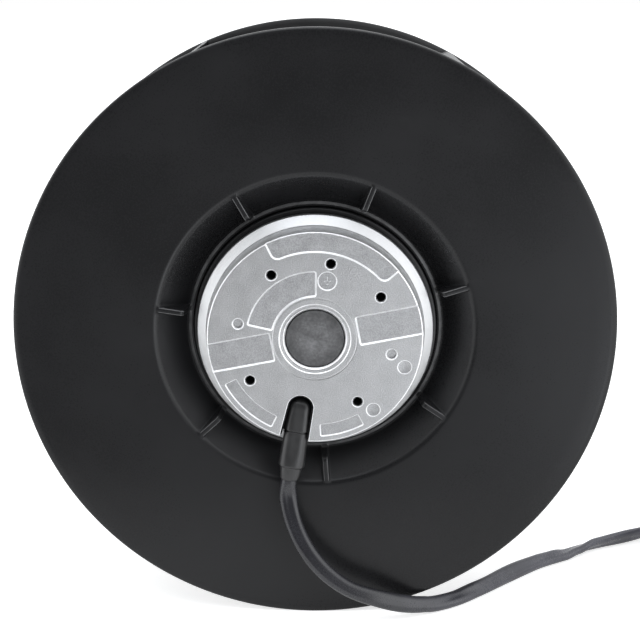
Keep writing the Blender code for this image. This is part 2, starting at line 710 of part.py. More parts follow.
def motor_flange():
    """The die-cast stator flange with the bearing tube, its pockets, holes and cable slot."""
    shoulder_start = REAR_BEARING + BEARING_WIDTH + FIT
    shoulder_end = FRONT_BEARING - 4 * FIT
    profile = rounded(
        [
            (BORE_RADIUS + BORE_CHAMFER, 0.0, 0.0),
            (GROOVE_RADIUS - GROOVE_WIDTH / 2, 0.0, 0.0),
            (GROOVE_RADIUS, GROOVE_DEPTH, 0.0),
            (GROOVE_RADIUS + GROOVE_WIDTH / 2, 0.0, 0.0),
            (FACE_RADIUS, 0.0, FLANGE_EDGE),
            (WALL_FOOT_RADIUS, WALL_DEPTH, FLANGE_EDGE),
            (FLANGE_RADIUS, WALL_DEPTH + CHAMFER_DEPTH, FLANGE_EDGE),
            (FLANGE_RADIUS, FLANGE_DEPTH, 0.0),
            (TUBE_RADIUS + TUBE_ROOT[0], FLANGE_DEPTH, 0.0),
            (TUBE_RADIUS, FLANGE_DEPTH + TUBE_ROOT[1], 0.0),
            (TUBE_RADIUS, TUBE_END, EDGE),
            (BORE_RADIUS, TUBE_END, 0.0),
            (BORE_RADIUS, shoulder_end, 0.0),
            (BORE_RADIUS - TUBE_SHOULDER, shoulder_end, 0.0),
            (BORE_RADIUS - TUBE_SHOULDER, shoulder_start, 0.0),
            (BORE_RADIUS, shoulder_start, 0.0),
            (BORE_RADIUS, BORE_CHAMFER, 0.0),
        ]
    )
    flange = turned("motor_flange", profile, MOTOR_FACETS, DIE_CAST)
    slot = plate("cable_slot", cable_slot(), -CUT, SLOT_DEPTH, turn=SLOT_ANGLE)
    combine(flange, [*flange_pockets(), *flange_holes(), slot])
    return flange


def bearing_cap():
    """The cap that closes the bearing bore in the mounting face."""
    radius = BORE_RADIUS - FIT
    profile = rounded(
        [
            (0.0, CAP_DEPTH, 0.0),
            (radius, CAP_DEPTH, EDGE),
            (radius, CAP_DEPTH + CAP_THICKNESS, 0.0),
            (0.0, CAP_DEPTH + CAP_THICKNESS, 0.0),
        ]
    )
    return turned("bearing_cap", profile, INNER_FACETS, GREY_RUBBER)


# Motor inside


def bearing(name: str, start: float) -> None:
    """A ball bearing in three pieces: outer race, inner race, and the cage with its balls."""
    middle = start + BEARING_WIDTH / 2
    groove = BALL_RADIUS + FIT

    def race(piece: str, back: float, track: float) -> None:
        reach = math.degrees(math.acos(min(1.0, abs(BALL_CIRCLE - track) / groove)))
        facing = 0 if track > BALL_CIRCLE else 180
        arc = [
            (BALL_CIRCLE + u, middle + v)
            for u, v in (polar(groove, facing + angle) for angle in np.linspace(-reach, reach, 4))
        ]
        outline = [(back, start + BEARING_WIDTH), (back, start), (track, start)]
        outline += arc if facing == 0 else arc[::-1]
        outline.append((track, start + BEARING_WIDTH))
        turned(f"{piece}_{name}", outline, INNER_FACETS, STEEL)

    outer_back, inner_back = BORE_RADIUS - FIT, SHAFT_RADIUS + FIT
    race("bearing_outer", outer_back, outer_back - BEARING_RACE_WALL)
    race("bearing_inner", inner_back, inner_back + BEARING_RACE_WALL)
    half_wall, half_width = CAGE_WALL / 2, BALL_RADIUS + CAGE_MARGIN
    cage = turned(
        f"ball_cage_{name}",
        [
            (BALL_CIRCLE - half_wall, middle - half_width),
            (BALL_CIRCLE + half_wall, middle - half_width),
            (BALL_CIRCLE + half_wall, middle + half_width),
            (BALL_CIRCLE - half_wall, middle + half_width),
        ],
        SMALL_FACETS,
        STEEL,
    )
    balls = []
    for k in range(BALLS):
        x, z = polar(BALL_CIRCLE, 360 * k / BALLS + BALL_ANGLE)
        shape = bmesh.new()
        bmesh.ops.create_uvsphere(shape, u_segments=7, v_segments=5, radius=BALL_RADIUS)
        mesh = bpy.data.meshes.new(f"ball_{name}_{k + 1}")
        shape.to_mesh(mesh)
        shape.free()
        balls.append(add_object(mesh.name, mesh, None, Matrix.Translation((x, middle, z))))
    combine(cage, balls, "UNION")


def wave_washer():
    """The spring washer that preloads the front bearing, a flat ring bent in three waves."""
    outer, inner = BORE_RADIUS - FIT, BORE_RADIUS - TUBE_SHOULDER
    middle = FRONT_BEARING - 2 * FIT
    profile = [
        (inner, middle - WASHER_WALL / 2),
        (outer, middle - WASHER_WALL / 2),
        (outer, middle + WASHER_WALL / 2),
        (inner, middle + WASHER_WALL / 2),
    ]
    washer = turned("wave_washer", profile, INNER_FACETS, STEEL)
    evaluated = washer.evaluated_get(bpy.context.evaluated_depsgraph_get())
    mesh = bpy.data.meshes.new_from_object(evaluated)
    bpy.data.objects.remove(washer, do_unlink=True)
    mesh.materials.clear()
    for vertex in mesh.vertices:
        vertex.co.z += WASHER_WAVE * math.sin(WASHER_WAVES * math.atan2(vertex.co.y, vertex.co.x))
    return add_object("wave_washer", mesh, STEEL, ALONG_FAN_AXIS)


def stator_core():
    """The laminated stator stack: a ring with T-shaped teeth."""
    bore = TUBE_RADIUS + FIT
    yoke = bore + CORE_WALL
    outline: list[Point] = []
    pitch = 360 / TEETH
    tip_half = pitch / 2 - math.degrees(TOOTH_SLOT / 2 / STATOR_RADIUS)
    body_outer = math.degrees(TOOTH_BODY / 2 / (STATOR_RADIUS - TOOTH_TIP))
    body_inner = math.degrees(TOOTH_BODY / 2 / yoke)
    for k in range(TEETH):
        middle = k * pitch
        for radius, angle in (
            (yoke, -body_inner),
            (STATOR_RADIUS - TOOTH_TIP, -body_outer),
            (STATOR_RADIUS - TOOTH_TIP / 2, -tip_half),
            (STATOR_RADIUS, -tip_half),
            (STATOR_RADIUS, tip_half),
            (STATOR_RADIUS - TOOTH_TIP / 2, tip_half),
            (STATOR_RADIUS - TOOTH_TIP, body_outer),
            (yoke, body_inner),
        ):
            outline.append(polar(radius, middle + angle))
    core = plate("stator_core", outline, STACK_START, STACK_START + STACK_LENGTH, LAMINATION)
    hole = drilled("core_bore", bore, STACK_START - CUT, STACK_START + STACK_LENGTH + CUT, (0.0, 0.0))
    combine(core, [hole])
    return core


def turned_ring(
    name: str,
    inner: float,
    outer: float,
    start: float,
    end: float,
    material,
    fillet: float = 0.0,
):
    """A plain ring about the fan axis, with its edges rounded where a fillet is given."""
    corners = [(inner, start), (outer, start), (outer, end), (inner, end)]
    return turned(name, rounded([(u, v, fillet) for u, v in corners]), INNER_FACETS, material)


def windings() -> None:
    """The insulators and winding heads at both ends of the stator stack."""
    bore = TUBE_RADIUS + FIT
    ends = (("rear", STACK_START, -1), ("front", STACK_START + STACK_LENGTH, 1))
    for name, face, way in ends:
        near, far = face + way * FIT, face + way * (FIT + INSULATOR_WALL)
        low, high = sorted((near, far))
        turned_ring(f"insulator_{name}", bore, STATOR_RADIUS - TOOTH_TIP, low, high, INSULATION)
        low, high = sorted((far + way * FIT, far + way * (FIT + WINDING_HEIGHT)))
        outer = STATOR_RADIUS - WINDING_SET_IN
        inner = outer - WINDING_SHARE * (STATOR_RADIUS - TUBE_RADIUS)
        turned_ring(f"winding_{name}", inner, outer, low, high, COPPER, WINDING_FILLET)


def rotor_can():
    """The deep-drawn rotor can with its shoulder, end boss and shaft hub."""
    inner = CAN_RADIUS - CAN_WALL
    boss_inner = CAN_BOSS_RADIUS - CAN_WALL
    profile = rounded(
        [
            (inner, CAN_START, 0.0),
            (CAN_RADIUS, CAN_START, CAN_EDGE),
            (CAN_RADIUS, CAN_SHOULDER, CAN_EDGE),
            (CAN_BOSS_RADIUS, CAN_SHOULDER, 0.0),
            (CAN_BOSS_RADIUS, CAN_END, BOSS_FILLET),
            (SHAFT_RADIUS + FIT, CAN_END, 0.0),
            (SHAFT_RADIUS + FIT, CAN_END - CAN_WALL - CAN_HUB_DEPTH, 0.0),
            (CAN_HUB_RADIUS, CAN_END - CAN_WALL - CAN_HUB_DEPTH, 0.0),
            (CAN_HUB_RADIUS, CAN_END - CAN_WALL, 0.0),
            (boss_inner, CAN_END - CAN_WALL, BOSS_INNER_FILLET),
            (boss_inner, CAN_SHOULDER - CAN_WALL, 0.0),
            (inner, CAN_SHOULDER - CAN_WALL, 0.0),
        ]
    )
    can = turned("rotor_can", profile, MOTOR_FACETS, BLACK_STEEL)
    combine(can, screw_holes("can_hole", CAN_SHOULDER - CAN_WALL - CUT, CAN_SHOULDER + CUT))
    return can


def rotor_inside() -> None:
    """The rotor's core with its short-circuit rings, the shaft and its retaining ring."""
    outer = CAN_RADIUS - CAN_WALL - FIT
    stack_end = STACK_START + STACK_LENGTH
    turned_ring("rotor_core", CORE_BORE, outer, STACK_START, stack_end, LAMINATION)
    ring_bore = CORE_BORE + SHORT_RING_SET_BACK
    rear = STACK_START - FIT
    turned_ring("short_ring_rear", ring_bore, outer, rear - SHORT_RING_HEIGHT, rear, DIE_CAST)
    front = stack_end + FIT
    turned_ring("short_ring_front", ring_bore, outer, front, front + SHORT_RING_HEIGHT, DIE_CAST)
    clip_start = FRONT_BEARING + BEARING_WIDTH + FIT
    clip_end = clip_start + CLIP_WIDTH
    neck = SHAFT_RADIUS - CLIP_GROOVE
    shaft = rounded(
        [
            (0.0, REAR_BEARING - SHAFT_START, 0.0),
            (SHAFT_RADIUS, REAR_BEARING - SHAFT_START, EDGE),
            (SHAFT_RADIUS, clip_start - FIT, 0.0),
            (neck, clip_start - FIT, 0.0),
            (neck, clip_end + FIT, 0.0),
            (SHAFT_RADIUS, clip_end + FIT, 0.0),
            (SHAFT_RADIUS, CAN_END - SHAFT_SET_IN, EDGE),
            (0.0, CAN_END - SHAFT_SET_IN, 0.0),
        ]
    )
    turned("rotor_shaft", shaft, SMALL_FACETS, STEEL)
    inner, outer = neck + FIT, SHAFT_RADIUS + CLIP_REACH
    clip = ring_sector(inner, outer, CLIP_OPENING - 90, 270 - CLIP_OPENING, 0.0)
    plate("shaft_circlip", clip, clip_start, clip_end, STEEL)


# Lead


def grommet_place() -> Matrix:
    """The grommet's own frame: its Z runs outwards from the slot and a little forwards."""
    x, z = polar(1.0, SLOT_ANGLE + GROMMET_LEAN)
    along = Vector((x, -GROMMET_TILT, z)).normalized()
    across = Vector((0, 1, 0)).cross(along).normalized()
    place = Matrix((across, along.cross(across), along)).transposed().to_4x4()
    x, z = polar(GROMMET_START, SLOT_ANGLE)
    place.translation = (x, GROMMET_AXIS_DEPTH, z)
    return place


def cable_grommet():
    """The tapered strain relief that leaves the flange through its slot."""

    def at(radius: float) -> float:
        return radius - GROMMET_START

    profile = rounded(
        [
            (0.0, 0.0, 0.0),
            (GROMMET_BODY_RADIUS, 0.0, 2 * EDGE),
            (GROMMET_BODY_RADIUS, at(GROMMET_NECK_END), 0.0),
            (GROMMET_BODY_RADIUS - GROMMET_BODY_TAPER, at(GROMMET_NECK_END) + 2 * GROMMET_BODY_TAPER, 0.0),
            (GROMMET_BODY_RADIUS - GROMMET_COLLAR_TAPER, at(GROMMET_COLLAR), EDGE),
            (GROMMET_TAIL_RADIUS, at(GROMMET_COLLAR) + GROMMET_COLLAR_TAPER, 0.0),
            (GROMMET_TAIL_RADIUS - GROMMET_TAIL_TAPER, at(GROMMET_END), EDGE),
            (0.0, at(GROMMET_END), 0.0),
        ]
    )
    flatten = Matrix.Diagonal((1.0, GROMMET_FLATTENING, 1.0, 1.0))
    grommet = turned("cable_grommet", profile, SMALL_FACETS, GREY_RUBBER, Matrix())
    evaluated = grommet.evaluated_get(bpy.context.evaluated_depsgraph_get())
    mesh = bpy.data.meshes.new_from_object(evaluated)
    bpy.data.objects.remove(grommet, do_unlink=True)
    mesh.materials.clear()
    mesh.transform(flatten)
    return add_object("cable_grommet", mesh, GREY_RUBBER, grommet_place())


def smooth_route(points: np.ndarray, spacing: float) -> np.ndarray:
    """Points a given distance apart along a Catmull-Rom curve through the route."""
    padded = np.vstack((2 * points[0] - points[1], points, 2 * points[-1] - points[-2]))
    dense = []
    for i in range(1, len(padded) - 2):
        a, b, c, d = padded[i - 1 : i + 3]
        for t in np.linspace(0, 1, 24, endpoint=False):
            bend = (2 * a - 5 * b + 4 * c - d) * t**2
            twist = (3 * b - a - 3 * c + d) * t**3
            dense.append(0.5 * (2 * b + (c - a) * t + bend + twist))
    dense.append(points[-1])
    dense = np.array(dense)
    travelled = np.concatenate(([0], np.cumsum(np.linalg.norm(np.diff(dense, axis=0), axis=1))))
    stops = np.linspace(0, travelled[-1], max(2, round(travelled[-1] / spacing)) + 1)
    return np.column_stack([np.interp(stops, travelled, dense[:, axis]) for axis in range(3)])


def tube(name: str, points: np.ndarray, material):
    """A round tube with filled ends along a row of points."""
    curve = bpy.data.curves.new(name, "CURVE")
    curve.dimensions = "3D"
    curve.bevel_depth = LEAD_DIAMETER / 2
    curve.bevel_resolution = 2
    curve.render_resolution_u = 0
    curve.use_fill_caps = True
    curve.materials.append(material)
    spline = curve.splines.new("POLY")
    spline.points.add(len(points) - 1)
    spline.points.foreach_set("co", np.column_stack((points, np.ones(len(points)))).ravel())
    made = bpy.data.objects.new(name, curve)
    PARTS.objects.link(made)
    return made


def coil_point(angle: float, radius: float, height: float) -> np.ndarray:
    """A point around the coil's centre, at an angle in degrees from +X towards +Y."""
    x, y = polar(radius, angle)
    return np.array((COIL_CENTRE[0] + x, COIL_CENTRE[1] + y, height))


def lead() -> None:
    """The sleeved lead, its coil with the tie, and the connector at its end."""
    half = LEAD_DIAMETER / 2
    outwards = grommet_place().to_3x3() @ Vector((0, 0, 1))
    length = GROMMET_END - GROMMET_START
    first = np.array(grommet_place().translation + outwards * (length + FIT))
    # A straight end stops where its inner side meets the outside of the coil
    run = math.sqrt((COIL_RADIUS + half + FIT) ** 2 - (COIL_RADIUS - half) ** 2)
    entry_angle = (COIL_TURNS * 360 + COIL_EXIT_ANGLE) % 360
    low = TABLE + COIL_LIFT + half
    entry_way = np.array((*polar(1.0, entry_angle - 90), 0.0))
    last = coil_point(entry_angle, COIL_RADIUS, low) - entry_way * run
    straight = first + np.array(outwards) * half
    route = smooth_route(np.vstack((straight, np.array(LEAD_ROUTE) * MM, last)), 2 * LEAD_DIAMETER)
    tube("lead_sleeve", np.vstack((first, route)), SLEEVE)

    high = low + COIL_PITCH * COIL_TURNS
    coil_place = Matrix.Translation((*COIL_CENTRE, 0.0))
    ring = [
        (COIL_RADIUS - half, low - half),
        (COIL_RADIUS + half, low - half),
        (COIL_RADIUS + half, high + half),
        (COIL_RADIUS - half, high + half),
    ]
    turned("lead_coil", ring, INNER_FACETS, SLEEVE, coil_place)

    tie_place = coil_place @ Matrix.Rotation(math.radians(TIE_ANGLE), 4, "Z")
    gap = FIT + TIE_WALL
    tie = box(
        "coil_tie",
        (COIL_RADIUS - half - gap, -TIE_WIDTH / 2, low - half - gap),
        (COIL_RADIUS + half + gap, TIE_WIDTH / 2, high + half + gap),
        WHITE_NYLON,
        tie_place,
    )
    sag = COIL_RADIUS * (1 - math.cos(math.pi / INNER_FACETS))
    window = box(
        "tie_window",
        (COIL_RADIUS - half - FIT - sag, -TIE_WIDTH, low - half - FIT),
        (COIL_RADIUS + half + FIT, TIE_WIDTH, high + half + FIT),
        None,
        tie_place,
    )
    combine(tie, [window])

    exit_way = np.array((*polar(1.0, COIL_EXIT_ANGLE - 90), 0.0))
    width, length, height = CONNECTOR_SIZE
    middle = TABLE + CONNECTOR_LIFT + height / 2
    leave = coil_point(COIL_EXIT_ANGLE, COIL_RADIUS, high)
    start = leave + exit_way * run
    start[2] -= (high - middle) * TAIL_FALL
    stop = leave + exit_way * (run + CONNECTOR_GAP)
    stop[2] = middle
    landing = stop - exit_way * half
    tail = smooth_route(np.vstack((start, (start + stop) / 2, landing)), LEAD_DIAMETER)
    tube("lead_tail", np.vstack((tail, stop)), SLEEVE)

    face = stop + exit_way * FIT
    housing = box(
        "lead_connector",
        (face[0] - width / 2, face[1] - length, middle - height / 2),
        (face[0] + width / 2, face[1], middle + height / 2),
        WHITE_NYLON,
    )
    pitch = width / (CONNECTOR_WAYS + 2 * CONNECTOR_SIDE)
    ways = []
    for k in range(CONNECTOR_WAYS):
        x = face[0] + (k - (CONNECTOR_WAYS - 1) / 2) * pitch
        low_corner = (x - CONNECTOR_WAY / 2, face[1] - length - CUT, middle - CONNECTOR_WAY)
        high_corner = (x + CONNECTOR_WAY / 2, face[1] - length + CONNECTOR_WAY_DEPTH, middle + CONNECTOR_WAY)
        ways.append(box(f"connector_way_{k + 1}", low_corner, high_corner))
    combine(housing, ways)


def main() -> None:
    """Builds the fan, from the flange outwards."""
    steps: list[Callable] = [
        motor_flange,
        bearing_cap,
        stator_core,
        windings,
        rotor_can,
        rotor_inside,
        back_disc,
        blades,
        front_ring,
        hub_screws,
        cable_grommet,
        lead,
    ]
    for step in steps:
        step()
    bearing("rear", REAR_BEARING)
    bearing("front", FRONT_BEARING)
    wave_washer()
    bpy.context.view_layer.update()


if __name__ == "__main__":
    main()
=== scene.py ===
"""Looks for a backward-curved centrifugal fan on an external-rotor motor.

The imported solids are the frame. The fan axis lies along Y with the motor's
mounting face at y = 0, looking towards -Y. Z is up, and the wheel stands on its
rims. Fine surfaces stand for the solids that show, and every solid that stays
gets a finish of its own. Shapes are worked out in millimetres and degrees, and a
mesh is scaled when it is made. The studio alone is in metres.
"""

import json
import logging
import math
from collections.abc import Sequence
from dataclasses import dataclass, field
from enum import Enum, IntEnum
from functools import cache

import bmesh
import bpy
import numpy as np
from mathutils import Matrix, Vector

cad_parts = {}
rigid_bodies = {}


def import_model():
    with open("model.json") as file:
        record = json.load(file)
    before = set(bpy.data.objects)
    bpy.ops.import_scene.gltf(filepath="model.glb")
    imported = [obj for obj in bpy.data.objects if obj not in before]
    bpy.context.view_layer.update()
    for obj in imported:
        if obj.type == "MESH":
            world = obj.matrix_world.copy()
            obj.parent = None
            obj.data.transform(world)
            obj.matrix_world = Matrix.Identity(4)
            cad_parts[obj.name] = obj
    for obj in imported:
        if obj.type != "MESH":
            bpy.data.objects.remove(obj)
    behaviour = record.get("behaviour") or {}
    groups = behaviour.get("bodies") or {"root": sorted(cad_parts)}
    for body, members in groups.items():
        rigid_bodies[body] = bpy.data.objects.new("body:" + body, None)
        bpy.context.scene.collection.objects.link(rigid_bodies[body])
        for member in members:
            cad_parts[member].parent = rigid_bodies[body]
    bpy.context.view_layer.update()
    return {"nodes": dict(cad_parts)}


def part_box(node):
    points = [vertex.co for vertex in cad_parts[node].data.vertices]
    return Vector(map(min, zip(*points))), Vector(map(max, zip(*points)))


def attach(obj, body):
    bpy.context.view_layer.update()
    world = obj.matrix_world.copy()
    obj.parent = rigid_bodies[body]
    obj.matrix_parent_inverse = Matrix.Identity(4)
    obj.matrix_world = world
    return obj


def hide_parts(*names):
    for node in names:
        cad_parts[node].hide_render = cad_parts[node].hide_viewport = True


LOG = logging.getLogger("centrifugal_fan")
MM = 0.001
MERGE = 0.002
ABOVE = -1.0
JUST_ABOVE = -0.003
FAR = 1000.0
Array = np.ndarray
Point = Sequence[float]
Mesh = bpy.types.Mesh
Piece = bpy.types.Object
Socket = bpy.types.NodeSocket
Value = Socket | float


class Body(Enum):
    """The bodies that pieces ride on."""

    STATOR = "stator"
    ROTOR = "rotor"


class Slot(Enum):
    """The record's material slots."""

    DIE_CAST = "die_cast"
    BLACK_PLASTIC = "black_plastic"
    BLACK_STEEL = "black_steel"
    BEARING_STEEL = "bearing_steel"
    BRIGHT_STEEL = "bright_steel"
    LAMINATION = "lamination"
    COPPER = "copper"
    INSULATION = "insulation"
    GREY_RUBBER = "grey_rubber"
    SLEEVE = "sleeve"
    WHITE_NYLON = "white_nylon"


# Outlines and grids


def polar(radius: Array | float, degrees: Array | float) -> Array:
    """Points (x, z) at radius times the cosine and sine of an angle from +X towards +Z."""
    angle = np.radians(degrees)
    return np.stack(np.broadcast_arrays(radius * np.cos(angle), radius * np.sin(angle)), axis=-1)


def lifted(flat: Array, depth: Array | float) -> Array:
    """Points (x, z) with a depth put in between, as (x, y, z)."""
    return np.stack(np.broadcast_arrays(flat[..., 0], depth, flat[..., 1]), axis=-1)


def unit(vectors: Array) -> Array:
    """Vectors divided by their lengths."""
    return vectors / np.linalg.norm(vectors, axis=-1, keepdims=True)


def tangents(path: Array) -> Array:
    """A path's direction at each point: the slope between its neighbours, one long."""
    return unit(np.gradient(path, axis=0))


def squared(vectors: Array, along: Array) -> Array:
    """Vectors less what they have along given directions, one long."""
    return unit(vectors - along * np.sum(vectors * along, axis=-1, keepdims=True))


def along_path(path: Array) -> Array:
    """The length travelled at each point of a path."""
    return np.concatenate(([0.0], np.cumsum(np.linalg.norm(np.diff(path, axis=0), axis=1))))


def turned(profile: Array, facets: int) -> Array:
    """The grid of rows of radius and depth turned about the axis: (r cos a, y, r sin a)."""
    return lifted(polar(profile[:, :1], np.arange(facets) * 360 / facets), profile[:, 1:])


def turned_outline(outline: Array, degrees: float) -> Array:
    """An outline in (x, z) turned about the origin, from +X towards +Z."""
    (cosine, sine) = polar(1.0, degrees)
    return outline @ np.array(((cosine, sine), (-sine, cosine)))


def filleted(corners: Sequence[Point], closed: bool = True, step: float = 12.0) -> Array:
    """An outline through corners, with an arc of the given radius at each.

    The arc's centre lies on the corner's bisector, a fillet radius over the sine of
    half the corner's angle away.

    Args:
        corners: Rows of u, v and fillet radius.
        closed: Whether the last corner joins the first.
        step: Degrees of turn for each piece of an arc.

    Returns:
        The outline's points, one row each.
    """
    points: list[Array] = []
    count = len(corners)
    for i, (u, v, radius) in enumerate(corners):
        here = np.array((u, v))
        if radius <= 0 or (not closed and i in (0, count - 1)):
            points.append(here[None])
            continue
        before = np.array(corners[i - 1][:2]) - here
        after = np.array(corners[(i + 1) % count][:2]) - here
        room = 0.49 * min(np.linalg.norm(before), np.linalg.norm(after))
        before, after = unit(before), unit(after)
        half = math.acos(float(np.clip(before @ after, -1, 1))) / 2
        reach = min(radius / math.tan(half), room)
        centre = here + unit(before + after) * (reach * math.tan(half) / math.sin(half))
        start, end = here + before * reach - centre, here + after * reach - centre
        turn = math.pi - 2 * half
        share = np.linspace(0, 1, max(2, math.ceil(math.degrees(turn) / step) + 1))[:, None]
        arc = (np.sin(turn * (1 - share)) * start + np.sin(turn * share) * end) / math.sin(turn)
        points.append(centre + arc)
    return np.vstack(points)


def rounded_box(low: Point, high: Point, fillet: float, step: float = 12.0) -> Array:
    """The outline of a box between two corners (u, v), with rounded corners."""
    places = (low, (high[0], low[1]), high, (low[0], high[1]))
    return filleted([(*place, fillet) for place in places], step=step)


def refined(path: Array, spacing: float, closed: bool = False) -> Array:
    """A path with further points on its long stretches, evenly spaced between its own.

    Args:
        path: The points.
        spacing: The longest stretch that is left.
        closed: Whether the path is an outline that comes back to its start.

    Returns:
        The old and the new points.
    """
    path = np.vstack((path, path[:1])) if closed else path
    counts = np.ceil(np.linalg.norm(np.diff(path, axis=0), axis=1) / spacing - 1e-9).astype(int)
    pieces = [
        path[i] + (path[i + 1] - path[i]) * np.linspace(0, 1, max(1, n), endpoint=False)[:, None]
        for i, n in enumerate(counts)
    ]
    return np.vstack(pieces if closed else [*pieces, path[-1:]])


def ring_sector(inner: float, outer: float, start: float, end: float, fillet: float) -> Array:
    """The outline of part of a ring, with rounded corners.

    The corners are rounded on the unrolled ring, where the length along it is the
    angle times the inner radius.

    Args:
        inner: Inner radius.
        outer: Outer radius.
        start: Angle of one end.
        end: Angle of the other end.
        fillet: Radius of the corners.

    Returns:
        Points (x, z).
    """
    low, high = (math.radians(angle) * inner for angle in (start, end))
    sheet = refined(rounded_box((low, inner), (high, outer), fillet), 1.2, closed=True)
    return polar(sheet[:, 1], np.degrees(sheet[:, 0] / inner))


def swept(path: Array, facing: Array, section: Array) -> Array:
    """The grid of a section carried along a path.

    The section's v axis is the facing direction made square to the path, and its u
    axis is the path's direction crossed with that.

    Args:
        path: Points along the way.
        facing: A direction for each point.
        section: A set of points u, v for each point.

    Returns:
        Points by place along the path and place around the section.
    """
    along = tangents(path)
    facing = squared(facing, along)
    side = np.cross(along, facing)
    return path[:, None] + section[..., :1] * side[:, None] + section[..., 1:] * facing[:, None]


def half_round(start: Array, end: Array, outwards: Array, bulge: float = 0.29) -> Array:
    """Points of half an ellipse from one end to another: the middle, the cosine of an
    angle towards the start, and a share of the sine outwards.

    Args:
        start: Where it starts.
        end: Where it ends.
        outwards: The way that it bulges.
        bulge: How far it bulges, as a share of half its width.

    Returns:
        The points between the ends.
    """
    middle, reach = (start + end) / 2, np.linalg.norm(end - start) / 2
    angle = np.linspace(0, math.pi, 7)[1:-1, None]
    side = unit(outwards) * reach * bulge
    return middle + (start - middle) * np.cos(angle) + side * np.sin(angle)


def quarter_arc(share: Array) -> Array:
    """Height of a quarter circle at a share of its width: the root of 1 - (1 - share) squared."""
    return np.sqrt(1 - (1 - np.clip(share, 0, 1)) ** 2)


def eased(at: Array, stations: Point, values: Point) -> Array:
    """Values between stations, going from one to the next with a level start and end.

    The share of the way is three times its square less twice its cube.

    Args:
        at: Where the values are wanted.
        stations: Where they are given.
        values: The given values.

    Returns:
        A value for each place.
    """
    stations, values = np.array(stations), np.array(values)
    i = np.clip(np.searchsorted(stations, at, side="right") - 1, 0, len(stations) - 2)
    t = np.clip((at - stations[i]) / (stations[i + 1] - stations[i]), 0, 1)
    return values[i] + (values[i + 1] - values[i]) * t * t * (3 - 2 * t)


def smooth(knots: Array, spacing: float) -> Array:
    """Points evenly spaced along a Catmull-Rom curve through knots.

    Between two knots the curve is a cubic whose slope at each is half the step from
    the knot before it to the knot after it, measured in the knots' own spacing.

    Args:
        knots: The knots.
        spacing: How far apart the points are.

    Returns:
        The points, from the first knot to the last.
    """
    travelled = along_path(knots)
    slope = np.gradient(knots, travelled, axis=0)
    stops = np.linspace(0, travelled[-1], round(travelled[-1] / spacing) + 1)
    i = np.clip(np.searchsorted(travelled, stops, side="right") - 1, 0, len(knots) - 2)
    span = (travelled[i + 1] - travelled[i])[:, None]
    t = (stops - travelled[i])[:, None] / span
    start = (2 * t**3 - 3 * t**2 + 1) * knots[i] + (t**3 - 2 * t**2 + t) * span * slope[i]
    end = (3 * t**2 - 2 * t**3) * knots[i + 1] + (t**3 - t**2) * span * slope[i + 1]
    return start + end


# Meshes and pieces


@dataclass
class Shape:
    """Grids of points gathered into one mesh.

    Attributes:
        name: The mesh's name.
        points: Blocks of points so far.
        faces: Faces so far, as tuples of point numbers.
    """

    name: str
    points: list[Array] = field(default_factory=list)
    faces: list[tuple[int, ...]] = field(default_factory=list)

    def add(self, grid: Array, wrap_rows: bool = False) -> "Shape":
        """Adds a grid whose last column joins its first.

        Args:
            grid: Points by row and column.
            wrap_rows: Whether the last row joins the first. Otherwise both are filled.

        Returns:
            This shape.
        """
        rows, columns = grid.shape[:2]
        numbers = np.arange(rows * columns).reshape(rows, columns) + sum(map(len, self.points))
        caps = [] if wrap_rows else [tuple(numbers[row].tolist()) for row in (0, -1)]
        if wrap_rows:
            numbers = np.vstack((numbers, numbers[:1]))
        numbers = np.hstack((numbers, numbers[:, :1]))
        corners = (numbers[:-1, :-1], numbers[1:, :-1], numbers[1:, 1:], numbers[:-1, 1:])
        faces = np.stack([corner.ravel() for corner in corners], axis=1)
        self.faces.extend([*map(tuple, faces.tolist()), *caps])
        self.points.append(grid.reshape(-1, 3))
        return self

    def mesh(self) -> Mesh:
        """One closed mesh of all that was added, in metres, with its faces outwards.

        Returns:
            The mesh.
        """
        made = bpy.data.meshes.new(self.name)
        made.from_pydata((np.vstack(self.points) * MM).tolist(), [], self.faces)
        work = bmesh.new()
        work.from_mesh(made)
        bmesh.ops.remove_doubles(work, verts=work.verts, dist=MERGE * MM)
        bmesh.ops.dissolve_degenerate(work, edges=work.edges, dist=MERGE * MM / 4)
        bmesh.ops.recalc_face_normals(work, faces=work.faces)
        work.to_mesh(made)
        work.free()
        return made


def prism(name: str, outline: Array, front: float, back: float) -> Shape:
    """A flat outline in (x, z), carried from one depth to another."""
    return Shape(name).add(lifted(outline, np.array(((front,), (back,)))))


def block(name: str, low: Point, high: Point) -> Shape:
    """A box between two corners."""
    return prism(name, rounded_box(low[::2], high[::2], 0.0), low[1], high[1])


def rounded_lip(width: float) -> Array:
    """Rows of outward offset and depth: a quarter-round edge, width less its sine and cosine.

    Args:
        width: How wide and deep the rounding is.

    Returns:
        The rows, from above the face down.
    """
    angle = np.radians((20, 42, 66, 90))
    start = ((width + 0.01, ABOVE), (width, JUST_ABOVE))
    return np.vstack((start, width * (1 - np.column_stack((np.sin(angle), np.cos(angle))))))


def sloped_lip(width: float, depth: float) -> Array:
    """Rows of outward offset and depth that leave a wall which slopes all the way down.

    Args:
        width: How far the wall leans out.
        depth: How deep it goes.

    Returns:
        The rows, from above the face down.
    """
    start = ((width + 0.02, ABOVE), (width + 0.01, JUST_ABOVE))
    share = np.array(((0.88, 0.05), (0.76, 0.14), (0.16, 0.88), (0.07, 0.96)))
    return np.vstack((start, share * (width, depth)))


